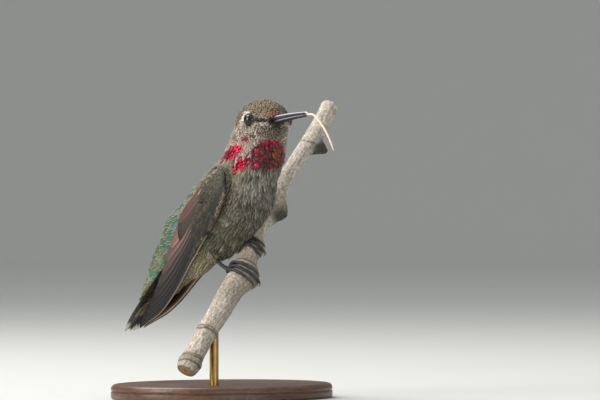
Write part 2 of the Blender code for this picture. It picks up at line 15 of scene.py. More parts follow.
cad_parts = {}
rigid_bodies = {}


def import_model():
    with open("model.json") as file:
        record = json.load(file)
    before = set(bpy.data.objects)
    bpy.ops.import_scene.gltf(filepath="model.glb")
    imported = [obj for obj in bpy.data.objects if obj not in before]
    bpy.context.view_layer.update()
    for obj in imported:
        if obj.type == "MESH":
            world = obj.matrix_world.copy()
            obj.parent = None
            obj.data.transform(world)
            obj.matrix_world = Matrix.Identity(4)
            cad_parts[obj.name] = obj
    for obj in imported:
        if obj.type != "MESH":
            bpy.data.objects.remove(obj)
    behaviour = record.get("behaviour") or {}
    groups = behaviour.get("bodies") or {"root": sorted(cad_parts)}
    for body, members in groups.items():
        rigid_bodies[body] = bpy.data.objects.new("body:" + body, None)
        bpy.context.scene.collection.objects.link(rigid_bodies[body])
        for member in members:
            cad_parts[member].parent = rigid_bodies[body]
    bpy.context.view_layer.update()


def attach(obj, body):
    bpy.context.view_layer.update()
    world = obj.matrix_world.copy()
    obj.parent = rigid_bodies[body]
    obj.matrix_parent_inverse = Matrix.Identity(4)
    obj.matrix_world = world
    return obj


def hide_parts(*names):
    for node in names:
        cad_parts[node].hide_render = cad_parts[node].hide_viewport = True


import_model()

MM = 0.001


# %% [markdown]
# All the shapes are worked out in millimetres with numpy arrays, and scaled to metres when a mesh is made. A few
# small helpers come first: colours given as a screen shows them, soft steps, unit vectors and smooth curves.

# %% Helpers for numbers and curves
def srgb(red, green, blue):
    """A colour as a screen shows it, each part 0 to 255, made linear for Blender."""
    c = np.array((red, green, blue), float) / 255
    return np.where(c <= 0.04045, c / 12.92, ((c + 0.055) / 1.055) ** 2.4)


def ease(low, high, x):
    t = np.clip((np.asarray(x, float) - low) / (high - low), 0, 1)
    return t * t * (3 - 2 * t)


def unit(v):
    return v / np.maximum(np.linalg.norm(v, axis=-1, keepdims=True), 1e-9)


def dot(a, b):
    return (a * b).sum(-1)


def square_to(way, axis):
    """The unit vector nearest to a way and square to an axis."""
    return unit(way - axis * dot(way, axis)[..., None])


def curve(knots, t):
    """Points of a Catmull-Rom curve through the knots, at t from 0 to 1."""
    knots = np.asarray(knots, float)
    x = np.asarray(t, float) * (len(knots) - 1)
    ends = np.vstack([2 * knots[0] - knots[1], knots, 2 * knots[-1] - knots[-2]])
    k = np.clip(np.floor(x).astype(int), 0, len(knots) - 2)
    f = (x - k)[..., None]
    a, b, c, d = ends[k], ends[k + 1], ends[k + 2], ends[k + 3]
    return (2 * b + (c - a) * f + (2 * a - 5 * b + 4 * c - d) * f**2 + (3 * b - a - 3 * c + d) * f**3) / 2


def turned_y(degrees):
    return np.array(Matrix.Rotation(math.radians(degrees), 3, "Y"))


# %% [markdown]
# Meshes are made in one place too. Attributes carry what changes from feather to feather, such as its colour, so
# that one material can paint thousands of them.

# %% Helpers for meshes
def mesh_of(name, points, faces, outward=True, **attributes):
    """A mesh from points in millimetres. Each attribute is an array: one row for each point."""
    mesh = bpy.data.meshes.new(name)
    mesh.from_pydata((np.asarray(points) * MM).tolist(), [], [tuple(int(i) for i in f) for f in faces])
    if outward and len(faces):
        work = bmesh.new()
        work.from_mesh(mesh)
        bmesh.ops.recalc_face_normals(work, faces=work.faces)
        work.to_mesh(mesh)
        work.free()
    for key, values in attributes.items():
        values = np.asarray(values, float)
        kind = "FLOAT" if values.ndim == 1 else "FLOAT_COLOR" if values.shape[1] == 4 else "FLOAT_VECTOR"
        slot = {"FLOAT": "value", "FLOAT_COLOR": "color", "FLOAT_VECTOR": "vector"}[kind]
        mesh.attributes.new(key, kind, "POINT").data.foreach_set(slot, values.astype(np.float32).ravel())
    if len(faces):
        mesh.shade_smooth()
    return mesh


def object_of(mesh, *finishes):
    obj = bpy.data.objects.new(mesh.name, mesh)
    bpy.context.scene.collection.objects.link(obj)
    for finish in finishes:
        mesh.materials.append(finish)
    return obj


def rgba(colour):
    colour = np.asarray(colour, float)
    return np.concatenate([colour, np.ones((*colour.shape[:-1], 1))], -1)


def grid_faces(rows, columns, closed=False, first=0):
    """Quads of a grid whose points run row by row; a closed grid joins its last column to its first."""
    i, k = np.meshgrid(np.arange(rows - 1), np.arange(columns if closed else columns - 1), indexing="ij")
    a, b = i * columns + k, i * columns + (k + 1) % columns
    return (first + np.stack([a, b, b + columns, a + columns], -1).reshape(-1, 4)).tolist()


def tube_of(rings, start=None, end=None):
    """Points and faces of a closed tube through equal rings, with a pole or a flat cap at each end."""
    rings = np.asarray(rings)
    rows, count = rings.shape[:2]
    points, faces = list(rings.reshape(-1, 3)), grid_faces(rows, count, closed=True)
    for pole, first in ((start, 0), (end, (rows - 1) * count)):
        if pole is None:
            faces.append(list(range(first, first + count)))
            continue
        points.append(np.asarray(pole))
        faces += [[first + i, first + (i + 1) % count, len(points) - 1] for i in range(count)]
    return np.array(points), faces


def frames_on(path, up=(0, 0, 1)):
    """Tangent, side and up at each point of a path, carried along it without twist."""
    tangents = unit(np.gradient(np.asarray(path, float), axis=0))
    sides, side = [], None
    for tangent in tangents:
        side = unit(np.cross(tangent, up)) if side is None else square_to(side, tangent)
        sides.append(side)
    sides = np.array(sides)
    return tangents, sides, np.cross(sides, tangents)


def tube_along(path, reach, start, end, up=(0, 0, 1), flat=1.0):
    """A closed tube round a path. reach has a row for each point of it, and a value for each step round it. Start and
    end are how far the domes stand out, or 0 for a flat end."""
    tangents, side, top = frames_on(path, up)
    turn = 2 * math.pi * np.arange(reach.shape[1])[:, None] / reach.shape[1]
    rings = path[:, None] + reach[..., None] * (side[:, None] * np.cos(turn) + flat * top[:, None] * np.sin(turn))
    first = path[0] - tangents[0] * start if start else None
    return tube_of(rings, first, path[-1] + tangents[-1] * end if end else None)


# %% [markdown]
# ## The camera, the floor and the light
# A long lens from the side and a little in front, at the height of the lower breast, shows the bird as a watcher
# with a telephoto lens sees it. The floor curves up into a wall far away, so that no line crosses behind the bird.
# A wide soft light overhead stands for a bright overcast sky, and two weaker ones keep the shadows open.

# %% The camera
BODY = np.array((3.6, 0.0, 50.8))  # the middle of the breast: the bird's own sizes are measured from here
VIEW_TURN = math.radians(38)
VIEW_RIGHT = np.array((math.cos(VIEW_TURN), math.sin(VIEW_TURN), 0.0))
VIEW_BACK = np.array((math.sin(VIEW_TURN), -math.cos(VIEW_TURN), 0.0))
VIEW_AWAY, VIEW_WIDTH = 1200.0, 146.34
aim = BODY + VIEW_RIGHT * 16.17 + np.array((0, 0, -2.44))

lens = bpy.data.cameras.new("camera")
lens.sensor_width = 36.0
lens.lens = lens.sensor_width * VIEW_AWAY / VIEW_WIDTH
lens.clip_start, lens.clip_end = 0.01, 50.0
camera = bpy.data.objects.new("camera", lens)
axes = Matrix(np.stack([VIEW_RIGHT, (0, 0, 1), VIEW_BACK], 1).tolist()).to_4x4()
camera.matrix_world = Matrix.Translation(Vector((aim + VIEW_BACK * VIEW_AWAY) * MM)) @ axes
bpy.context.scene.collection.objects.link(camera)
bpy.context.scene.camera = camera
bpy.context.scene.view_settings.view_transform = "Standard"
print("camera: lens", round(lens.lens, 1), "mm,", round(aim[2], 1), "mm above the floor")


# %% The floor
def new_finish(name, roughness, **settings):
    """A Principled material; settings are plain values for its sockets. Gives it with its tree and its shader."""
    finish = bpy.data.materials.new(name)
    finish.use_nodes = True
    shader = finish.node_tree.nodes["Principled BSDF"]
    for key, value in {"Roughness": roughness, **settings}.items():
        shader.inputs[key.replace("_", " ")].default_value = value
    return finish, finish.node_tree, shader


FLOOR_SIDES = 96
sweep = [(300, 0), (1200, 0), (2400, 0)]  # radius and height
sweep += [(2400 + 1400 * math.sin(a), 1400 - 1400 * math.cos(a)) for a in np.linspace(0.1, math.pi / 2, 12)]
sweep += [(3800, 3000)]
turn = np.linspace(0, 2 * math.pi, FLOOR_SIDES + 1)[:-1]
rings = [np.stack([r * np.cos(turn), r * np.sin(turn), np.full(FLOOR_SIDES, z)], -1) for r, z in sweep]
faces = grid_faces(len(rings), FLOOR_SIDES, closed=True)
faces += [[(i + 1) % FLOOR_SIDES, i, len(rings) * FLOOR_SIDES] for i in range(FLOOR_SIDES)]
points = np.vstack([np.reshape(rings, (-1, 3)), [(0, 0, 0)]])
floor_finish, _, shader = new_finish("floor_pale", 0.9)
shader.inputs["Base Color"].default_value = (*srgb(204, 204, 200), 1)
floor = object_of(mesh_of("floor", points, faces, outward=False), floor_finish)


# %% The light
def soft_light(name, place, size, power, colour=(1, 1, 1)):
    """A square soft light that faces the bird."""
    lamp = bpy.data.lights.new(name, "AREA")
    lamp.shape, lamp.size = "SQUARE", size * MM
    lamp.energy, lamp.color = power, colour
    obj = bpy.data.objects.new(name, lamp)
    way = Vector(BODY + (0, 0, 2.0) - place)
    obj.matrix_world = Matrix.Translation(Vector(place) * MM) @ way.to_track_quat("-Z", "Y").to_matrix().to_4x4()
    bpy.context.scene.collection.objects.link(obj)


def from_view(right, back, up):
    return BODY + VIEW_RIGHT * right + VIEW_BACK * back + np.array((0, 0, up))


soft_light("sky_light", from_view(-300, -160, 640), 480, 5.6, (1.0, 0.99, 0.97))
soft_light("side_light", from_view(-560, 380, 240), 420, 4.4, (1.0, 0.98, 0.95))
soft_light("fill_light", from_view(420, 620, 60), 500, 1.6, (0.95, 0.98, 1.0))
world = bpy.data.worlds.new("studio")
world.use_nodes = True
world.node_tree.nodes["Background"].inputs["Color"].default_value = (0.90, 0.93, 0.96, 1)
world.node_tree.nodes["Background"].inputs["Strength"].default_value = 0.66
bpy.context.scene.world = world


# %% [markdown]
# ## The form of the body
# Under its feathers a hummingbird is one smooth form. It is a blend of ellipsoids, the same ones as in the solid
# model: each has a place, a pitch and three half sizes. Adding up soft falloffs of all of them, and taking the
# logarithm, gives one rounded surface with no seam. A ray from inside finds that surface by halving its step.

# %% The blended form
HEAD = BODY + (9.0, -0.4, 16.9)  # the middle of the skull
HEAD_TURN, HEAD_LIFT = -24.0, 5.0
HEAD_AXES = np.array(Matrix.Rotation(math.radians(HEAD_TURN), 3, "Z")) @ turned_y(-HEAD_LIFT)
TRUNK_FORMS = {  # place from BODY, pitch in degrees, half length, half width, half depth
    "throat": ((6.9, -0.1, 8.5), 69, (8.2, 6.7, 7.5)),
    "breast": ((2.1, 0.0, -0.2), 57, (11.1, 7.4, 9.5)),
    "belly": ((-3.3, 0.0, -5.7), 48, (12.9, 6.9, 10.0)),
    "mantle": ((-7.9, 0.0, -5.7), 49, (12.2, 5.8, 6.9)),
    "vent": ((-12.4, 0.0, -11.8), 47, (9.6, 5.4, 9.0)),
    "rump": ((-17.7, 0.0, -17.0), 44, (9.4, 4.0, 6.6)),
    "tail_coverts": ((-23.4, 0.0, -22.5), 50, (7.5, 3.6, 2.7)),
}
HEAD_FORMS = {  # place from HEAD, along the way it looks
    "skull": ((0.5, 0.0, -0.5), 0, (7.1, 6.3, 5.5)),
    "face": ((3.3, 0.0, -0.8), -4, (4.4, 3.5, 3.1)),
    "cheeks": ((-0.8, 0.0, -4.1), 20, (6.2, 6.2, 4.9)),
}
BLEND = 0.8
FORMS = [(BODY + np.array(p), turned_y(-pitch), np.array(half)) for p, pitch, half in TRUNK_FORMS.values()]
FORMS += [
    (HEAD + HEAD_AXES @ np.array(p), HEAD_AXES @ turned_y(-pitch), np.array(half))
    for p, pitch, half in HEAD_FORMS.values()
]


def in_head(forward, left, up):
    return HEAD + HEAD_AXES @ np.array((forward, left, up), float)


def depth_of(points):
    """How far each point lies outside the blended body, roughly in millimetres."""
    total = np.zeros(points.shape[:-1])
    for centre, turn, half in FORMS:
        local = (points - centre) @ turn
        near = np.linalg.norm(local / half, axis=-1)
        slope = np.linalg.norm(local / half**2, axis=-1)
        total += np.exp(-near * (near - 1) / np.maximum(slope, 1e-6) / BLEND)
    return -BLEND * np.log(np.maximum(total, 1e-30))


def outward_of(points):
    """The outward direction of the blended body near each point."""
    step = 0.05
    return unit(np.stack([depth_of(points + step * a) - depth_of(points - step * a) for a in np.eye(3)], -1))


def cast(starts, ways, lift=0.0):
    """Where rays from inside come lift millimetres out of the body."""
    low = np.zeros(ways.shape[:-1])
    for step in np.arange(0.0, 20.0, 0.5):
        low = np.where(depth_of(starts + ways * step) > lift, low, step)
    high = low + 0.5
    for _ in range(10):
        middle = (low + high) / 2
        out = depth_of(starts + ways * middle[..., None]) > lift
        low, high = np.where(out, low, middle), np.where(out, middle, high)
    return starts + ways * ((low + high) / 2)[..., None]


# %% [markdown]
# The skin is drawn as rings from the tail to the forehead. Along the trunk each ring is square to a spine. On the
# head the rays fan out from inside the skull, so that the rings close over the crown and the face and end in one
# point on the forehead. Ring and angle are also the skin's own map: they give each feather its root, the way it
# lies (back along the rings, from face to tail) and its place on the flat map that paints it.

# %% Rings from tail to forehead
SPINE = BODY + np.array(
    [(-25.5, 0, -25.6), (-17.0, 0, -17.4), (-8.5, 0, -9.6), (-0.8, 0, -1.8), (4.4, 0, 5.6), (8.2, -0.2, 14.0)]
)
AROUND = 96
NECK_END = 0.965  # where on the spine the head's fan takes over


def square_rays(t, lean=0.0):
    """Start and ways of one ring of rays at t on the spine, leaned from square by some degrees."""
    here = curve(SPINE, t)
    tangent = unit(curve(SPINE, t + 1e-3) - curve(SPINE, t - 1e-3))
    side = unit(np.cross(tangent, (0, 0, 1)))
    top = np.cross(side, tangent)
    angle = 2 * math.pi * np.arange(AROUND)[:, None] / AROUND
    ways = (side * np.cos(angle) + top * np.sin(angle)) * math.cos(math.radians(lean))
    ways = ways + tangent * math.sin(math.radians(lean))
    return np.broadcast_to(here, ways.shape), ways


row_rays = [square_rays(0.0, -lean) for lean in (82, 72, 60, 48, 36, 24, 12)]
row_rays += [square_rays(t) for t in np.linspace(0.0, NECK_END, 96)]
TRUNK_ROWS = len(row_rays)
rim = cast(*row_rays[-1])
fan_start = in_head(0.2, 0.0, -0.9)
pole_way = HEAD_AXES @ np.array((math.cos(math.radians(30)), 0, math.sin(math.radians(30))))
rim_ways = unit(rim - fan_start)
apart = np.arccos(np.clip(rim_ways @ pole_way, -1, 1))[:, None]
for share in np.linspace(1, 0, 45)[1:-1]:
    fan = (np.sin((1 - share) * apart) * pole_way + np.sin(share * apart) * rim_ways) / np.sin(apart)
    row_rays.append((np.broadcast_to(fan_start, fan.shape), unit(fan)))
STARTS = np.array([starts for starts, _ in row_rays])
WAYS = np.array([ways for _, ways in row_rays])
ROWS = len(row_rays)
outline = cast(STARTS, WAYS)  # the coat's outer form
print("rings:", ROWS, "of", AROUND, "  form:", np.round(outline.min((0, 1)), 1), np.round(outline.max((0, 1)), 1))


# %% [markdown]
# ## The branch's form
# The skin has to know where the branch is, because the belly rests on it, so the branch's form comes first: a
# middle line that wanders a little, a radius that changes along it, swollen rings where old buds sat, and lumps
# on the side that faces away from the bird.

# %% The branch as a function
BRANCH_FOOT = BODY + (3.67, -2.0, -20.73)  # on its middle line, under the right foot
BRANCH_WAY = unit(np.array((0.036, 0.634, 0.773)))
ACROSS = unit(np.array((1.0, 0, 0)) - BRANCH_WAY * BRANCH_WAY[0])
TOPSIDE = unit(np.cross(ACROSS, BRANCH_WAY))
BRANCH_KNOTS = np.array(
    [  # along, how far forward the middle wanders, radius
        (-29.5, -0.75, 2.45), (-23.7, -0.9, 2.45), (-17.4, -0.95, 2.45), (-14.2, -0.5, 2.5), (-11.1, -0.3, 2.65),
        (-7.9, -0.35, 2.8), (-4.7, -0.25, 2.85), (-1.6, 0.0, 2.75), (4.1, -0.2, 2.35), (9.4, -1.45, 2.25),
        (13.2, -2.05, 2.1), (17.3, -2.05, 2.05), (23.6, -2.2, 2.03), (29.9, -2.2, 2.0), (36.2, -1.7, 2.0),
        (42.6, -0.95, 2.05), (48.9, -0.4, 2.15), (54.0, -0.6, 2.3),
    ]
)
# Swollen rings: along, extra radius, half length.
BRANCH_RINGS = [(-27.0, 0.5, 1.3), (-17.6, 0.3, 0.8), (2.6, 0.35, 0.9), (8.0, 0.35, 1.2)]
BRANCH_LUMPS = [  # along, angle, height, half length, width in degrees
    (0.2, 218, 2.2, 3.0, 52), (9.8, 222, 1.0, 2.2, 50), (21.4, 225, 2.5, 3.0, 45), (42.0, 226, 2.9, 1.6, 36),
]


def branch_middle(along):
    along = np.asarray(along, float)
    forward = sum(np.interp(along + s, BRANCH_KNOTS[:, 0], BRANCH_KNOTS[:, 1]) for s in (-2, -1, 0, 1, 2)) / 5
    return BRANCH_FOOT + along[..., None] * BRANCH_WAY + forward[..., None] * ACROSS


def branch_radius(along, angle):
    radius = np.interp(along, BRANCH_KNOTS[:, 0], BRANCH_KNOTS[:, 2])
    for place, extra, half in BRANCH_RINGS:
        radius = radius + extra * np.exp(-(((along - place) / half) ** 2))
    for place, facing, height, half, wide in BRANCH_LUMPS:
        turn = (angle - facing + 180) % 360 - 180
        radius = radius + height * np.exp(-(((along - place) / half) ** 2) - (turn / wide) ** 2)
    return radius


def branch_place(along, angle, lift=0.0):
    """A place round the branch: angle 0 is where the bird is, 90 on top and 180 in front."""
    along, angle = np.broadcast_arrays(np.asarray(along, float), np.asarray(angle, float))
    turn = np.radians(angle)[..., None]
    out = -ACROSS * np.cos(turn) + TOPSIDE * np.sin(turn)
    return branch_middle(along) + out * (branch_radius(along, angle) + lift)[..., None]


def over_branch(points):
    """How far points lie off the bark, and the way straight off it."""
    along = (points - BRANCH_FOOT) @ BRANCH_WAY
    off = points - branch_middle(along)
    off = off - (off @ BRANCH_WAY)[..., None] * BRANCH_WAY
    angle = np.degrees(np.arctan2(off @ TOPSIDE, -(off @ ACROSS))) % 360
    reach = np.linalg.norm(off, axis=-1)
    gap = np.where((along > -30) & (along < 55), reach - branch_radius(along, angle), 99.0)
    return gap, unit(off)


# %% [markdown]
# ## The skin
# One skin runs from the rump to the bill and lies inside the outline by the depth of the coat: least on the face,
# most on the breast. Where the belly rests on the branch, the skin gives way.

# %% The skin
def head_local(points):
    return (points - HEAD) @ HEAD_AXES


def coat_depth(points):
    local = head_local(points)
    on_head = ease(-9.0, -4.5, local[..., 2])
    tail_end = ease(-15.0, -24.0, (points - BODY)[..., 0])
    return 0.62 - 0.30 * on_head - 0.25 * tail_end


skin = cast(STARTS, WAYS, -coat_depth(outline))
for _ in range(2):
    gap, off = over_branch(skin)
    skin = skin + off * np.clip(0.55 - gap, 0, None)[..., None]
rise = outward_of(skin)

ends = [cast(STARTS[:1, :1], -unit(curve(SPINE, 1e-3) - curve(SPINE, 0.0))[None, None], -0.4)[0, 0]]
ends.append(cast(fan_start[None, None], pole_way[None, None], -0.3)[0, 0])
skin_points = np.vstack([skin.reshape(-1, 3), ends])
skin_faces = grid_faces(ROWS, AROUND, closed=True)
skin_faces += [[(k + 1) % AROUND, k, ROWS * AROUND] for k in range(AROUND)]
top = (ROWS - 1) * AROUND
skin_faces += [[top + k, top + (k + 1) % AROUND, ROWS * AROUND + 1] for k in range(AROUND)]
depths = depth_of(skin_points)
print("skin lies", round(-depths.max(), 2), "to", round(-depths.min(), 2), "mm inside the coat's outline")


# %% [markdown]
# ## The markings
# Skin and feathers take their colours from one function of the place on the body. The zones are those of a young
# male in moult: a scaly grey-brown crown, grizzled cheeks, a dark line from bill to eye, white behind the eye, a
# rose-red gorget that is still filling in, grey mottled breast, buff vent and a blue-green back with buff fringes.
# Outlines on the throat are drawn round the neck: an angle from straight ahead, and a height.

# %% Helpers for zones
def beside(points, centre, radii):
    """1 at the centre of a soft spot and falling to 0 round it."""
    return np.exp(-((np.abs((points - np.array(centre)) / np.array(radii))) ** 2).sum(-1))


def near_line(points, start, end, half):
    """1 on a line between two places, falling to 0 at about twice its half width."""
    start, end = np.array(start, float), np.array(end, float)
    t = np.clip((points - start) @ (end - start) / ((end - start) @ (end - start)), 0, 1)
    off = np.linalg.norm(points - (start + t[..., None] * (end - start)), axis=-1)
    return np.exp(-((off / half) ** 2))


def inside_outline(outline, x, y):
    """How far (x, y) is inside a closed outline; outside it is negative."""
    corners = np.array(outline, float)
    following = np.roll(corners, -1, axis=0)
    nearest, crossings = np.full(x.shape, 1e9), np.zeros(x.shape, int)
    for (ax, ay), (bx, by) in zip(corners, following):
        t = np.clip(((x - ax) * (bx - ax) + (y - ay) * (by - ay)) / ((bx - ax) ** 2 + (by - ay) ** 2), 0, 1)
        nearest = np.minimum(nearest, np.hypot(x - ax - t * (bx - ax), y - ay - t * (by - ay)))
        cuts = (ay > y) != (by > y)
        crossings += cuts & (x < (bx - ax) * (y - ay) / np.where(by == ay, 1e-9, by - ay) + ax)
    return np.where(crossings % 2 == 1, nearest, -nearest)


def ripple(points, scale, seed):
    """Soft patches from -1 to 1, of about this size in millimetres."""
    rng = np.random.default_rng(seed)
    total = np.zeros(points.shape[:-1])
    for _ in range(7):
        way = unit(rng.normal(size=3))
        total = total + np.sin(points @ way * (2 * math.pi / scale) * rng.uniform(0.6, 1.5) + rng.uniform(0, 6.28))
    return np.clip(total / 3.2, -1, 1)


def toward(colours, colour, amount):
    return colours + (np.asarray(colour) - colours) * np.clip(amount, 0, 1)[..., None]


# %% The zones and their colours
PER_DEGREE = 0.125  # millimetres round the throat for each degree
GORGET = [(-20, -5.0), (14, -5.3), (26, -6.2), (39, -7.4), (43, -9.0), (68, -9.3), (90, -11.2), (90, -12.9)]
GORGET += [(72, -12.5), (49, -11.8), (24, -12.2), (0, -12.8), (-20, -12.8)]
SIDE_PATCH = [(131, -9.3), (134, -7.5), (92, -6.4), (67, -5.7), (55, -6.8), (56, -7.8), (90, -9.6), (112, -9.7)]
SMALL_PATCH = [(43, -4.2), (54, -4.1), (55, -5.6), (44, -5.7)]


def throat_map(points):
    local = head_local(points)
    angle = np.degrees(np.arctan2(local[..., 1], local[..., 0] + 3.0))
    return angle, local[..., 2]


def gorget_of(points):
    """How far a place is inside the coloured throat or its side patches, in millimetres."""
    angle, height = throat_map(points)
    found = np.full(angle.shape, -99.0)
    for outline in (GORGET, SIDE_PATCH, SMALL_PATCH):
        scaled = [(a * PER_DEGREE, h) for a, h in outline]
        found = np.maximum(found, inside_outline(scaled, np.abs(angle) * PER_DEGREE, height))
    return found


def gorget_colour(points):
    angle, height = throat_map(points)
    # The throat is iridescent, and its colours are laid by place as painted light: bright rose highlights where it
    # flashes, dark wine where it does not, and gold towards one side.
    rose, wine, gold = srgb(206, 30, 70), srgb(48, 18, 23), srgb(132, 70, 34)
    painted_flash = np.maximum(ease(-40, -62, angle), ease(52, 66, angle)) * (0.60 + 0.40 * ripple(points, 1.7, 4))
    painted_flash = np.maximum(painted_flash, 0.65 * ease(0.35, 0.85, ripple(points, 1.5, 14)) * ease(-14, -30, angle))
    chin_painted_flash = 0.6 * ease(-7.4, -6.2, height) * ease(-36, -16, angle) * (0.6 + 0.4 * ripple(points, 1.4, 15))
    painted_flash = np.maximum(painted_flash, chin_painted_flash)
    colour = toward(wine, srgb(118, 26, 40), 0.25 + 0.7 * ripple(points, 1.6, 8))
    bronze = ease(-4, 12, angle) * ease(62, 48, angle) * ease(-6.4, -8.0, height)
    colour = toward(colour, gold, bronze * (0.55 + 0.5 * ripple(points, 1.3, 9)))
    return toward(colour, rose, painted_flash), np.clip(painted_flash, 0, 1)


def plumage(points, share, dorsal):
    """Vane colour, fringe colour and gleam at places on the body. share is the ring's place on the spine, over 1 on
    the head, and dorsal goes from -1 under the bird to 1 on its back."""
    local = head_local(points)
    sides = np.stack([local[..., 0], np.abs(local[..., 1]), local[..., 2]], -1)
    forward, out, up = np.moveaxis(sides, -1, 0)
    patches, specks = ripple(points, 5.0, 1), ripple(points, 2.0, 2)

    def paint(vane_colour, fringe_colour, amount):
        nonlocal vane, fringe
        vane, fringe = toward(vane, srgb(*vane_colour), amount), toward(fringe, srgb(*fringe_colour), amount)

    # Underparts, from the breast to under the tail.
    vane, fringe = srgb(104, 101, 93), srgb(148, 144, 133)
    paint((71, 70, 58), (108, 106, 88), ease(0.78, 0.52, share))
    place = points - BODY
    pink = beside(place, (5.0, -5.5, 2.4), (2.6, 3.0, 2.4))
    paint((120, 108, 100), (156, 142, 132), 0.8 * pink)
    dark = 0.30 * ease(0.15, 0.8, specks) + 0.60 * ease(0.05, 0.75, ripple(points, 4.2, 6))
    paint((54, 56, 48), (88, 88, 76), dark)
    paint((128, 126, 113), (158, 155, 141), 0.5 * ease(0.30, 0.9, -ripple(points, 3.4, 21)))
    for middle in ((8.7, -4.6, -3.9), (6.9, -4.7, -6.1), (11.2, -1.9, -2.4), (4.7, -5.2, -7.9), (4.5, -6.2, -3.0)):
        soot = 0.75 * beside(place, middle, (1.7, 2.4, 0.95)) * (0.75 + 0.25 * specks)
        paint((46, 47, 42), (70, 70, 62), soot)
    paint((92, 90, 66), (146, 140, 104), 0.6 * ease(-0.75, -0.2, dorsal))  # the flanks
    paint((134, 127, 98), (200, 190, 158), 0.85 * ease(0.42, 0.28, share))  # the vent
    paint((104, 97, 76), (164, 153, 122), ease(0.16, 0.06, share))  # under the tail
    paint((46, 44, 40), (74, 70, 60), ease(0.17, 0.11, share) * ease(-0.85, -0.6, dorsal))  # beside the tail

    # The back: olive on the mantle, blue-green below with painted turquoise highlights, greener over the tail.
    back = ease(-0.12, 0.2, dorsal) * ease(1.03, 0.95, share)
    teal = toward(srgb(48, 96, 80), srgb(70, 100, 66), 0.5 + 0.6 * patches)
    # painted highlight: turquoise patches low on the back stand for its iridescent gloss catching the light
    teal = toward(teal, srgb(58, 106, 122), 0.75 * ease(0.0, 0.6, ripple(points, 2.4, 17)) * ease(0.15, 0.35, share))
    teal = toward(teal, srgb(120, 113, 96), 0.75 * ease(-0.1, 0.6, ripple(points, 2.6, 12)))
    brown = toward(srgb(104, 94, 76), srgb(80, 88, 70), 0.4 + 0.5 * patches)
    mantle = ease(0.46, 0.60, share + 0.06 * specks)
    vane = toward(vane, toward(teal, brown, mantle), back)
    fringe = toward(fringe, toward(srgb(176, 168, 146), srgb(178, 160, 136), mantle), back)
    gleam = 0.42 * back * (1 - 0.85 * mantle)

    # The head: scaly crown, grizzled cheeks, dark speckled chin.
    head = ease(-9.5, -6.5, up) * ease(0.90, 0.97, share)
    crown = ease(-0.6, 1.0, up + 0.75 * np.maximum(0, 1.2 - forward))
    paint((106, 92, 83), (218, 201, 186), head * (1 - crown))
    paint((60, 51, 40), (148, 130, 104), head * crown)
    gleam = gleam * (1 - head) + 0.08 * head * crown
    chin = head * ease(4.4, 6.4, forward) * ease(-1.5, -2.4, up) * (1 - crown)
    paint((44, 42, 34), (136, 128, 110), chin)
    vane = toward(vane, srgb(62, 54, 46), 0.75 * head * (1 - crown) * ease(0.1, 0.7, ripple(points, 1.5, 3)))
    # The pale nape is partly the bird's own colour and partly painted light from behind on the back of the head.
    nape = head * ease(-1.0, -4.0, forward) * ease(1.5, -2.0, up)
    paint((166, 146, 126), (226, 206, 184), 0.9 * nape)
    before_eye = near_line(sides, (4.9, 4.9, -1.45), (7.0, 2.9, -1.6), 0.40)
    over_eye = near_line(sides, (2.7, 6.0, 1.75), (5.0, 4.8, 0.65), 0.34)
    paint((158, 144, 124), (212, 198, 176), np.maximum(before_eye, 0.8 * over_eye))
    line = near_line(sides, (4.8, 4.9, -0.5), (6.2, 3.9, -0.6), 0.62)
    line = np.maximum(line, near_line(sides, (6.2, 3.9, -0.6), (7.3, 1.6, -0.8), 0.46))
    at_bill = ease(2.1, 1.5, out) * ease(0.75, 0.40, np.abs(up + 0.95)) * ease(5.0, 6.0, forward)
    paint((26, 25, 24), (36, 34, 31), np.maximum(1.3 * line, at_bill))
    behind = beside(sides, (2.2, 6.2, -0.3), (0.75, 1.6, 1.05))
    behind = np.maximum(behind, beside(sides, (2.7, 5.9, 1.3), (0.7, 1.5, 0.4)))
    paint((226, 214, 202), (240, 232, 222), 1.4 * behind)
    rust = beside(local, (7.4, -0.9, 0.85), (1.1, 1.4, 0.5))
    vane, fringe = toward(vane, srgb(146, 80, 56), 0.85 * rust), toward(fringe, srgb(168, 120, 94), 0.8 * rust)

    # The sides of the throat between its coloured patches, then those patches.
    coloured = gorget_of(points)
    angle, height = throat_map(points)
    between = ease(-3.2, -1.2, coloured) * ease(-11.0, -9.4, height)
    between = between * ease(30, 42, np.abs(angle)) * ease(150, 120, np.abs(angle))
    between = between * ease(-4.6, -5.6, height) * (1 - 0.5 * ease(0.2, 0.7, ripple(points, 1.4, 5)))
    paint((136, 118, 110), (206, 190, 180), between)
    throat = ease(-0.25, 0.25, coloured)
    colour, painted_flash = gorget_colour(points)
    vane = toward(vane, colour, throat)
    fringe = toward(fringe, toward(colour, srgb(54, 24, 26), 0.45 + 0.3 * specks), throat)
    # the metal gleam is stronger under the painted rose highlights
    gleam = gleam * (1 - throat) + throat * (0.45 + 0.3 * painted_flash)
    return vane, fringe, gleam


FIRST_ROWS = 7  # the rings of the blunt end
ring_share = np.concatenate(
    [
        np.zeros(FIRST_ROWS), np.linspace(0, NECK_END, TRUNK_ROWS - FIRST_ROWS),
        NECK_END + 0.01 * np.arange(1, ROWS - TRUNK_ROWS + 1),
    ]
)
ring_dorsal = np.sin(2 * math.pi * np.arange(AROUND) / AROUND)
share_grid, dorsal_grid = np.meshgrid(ring_share, ring_dorsal, indexing="ij")


# %% [markdown]
# ## Materials for feathers
# A feather's vane is darker in the middle and has a loose, paler fringe, with fine barbs slanting out from its
# shaft. That pattern is one node group for every feather. It reads the attribute "vane" (how far across and how
# far along a point is on its own feather) and puts out masks. Each material then mixes its own colours with them.

# %% A node group for the pattern of one vane
def feed(tree, socket, value):
    """Gives a socket a plain value, a colour, or another node's output."""
    if isinstance(value, bpy.types.NodeSocket):
        tree.links.new(value, socket)
    else:
        socket.default_value = (*value, 1) if socket.type == "RGBA" else value


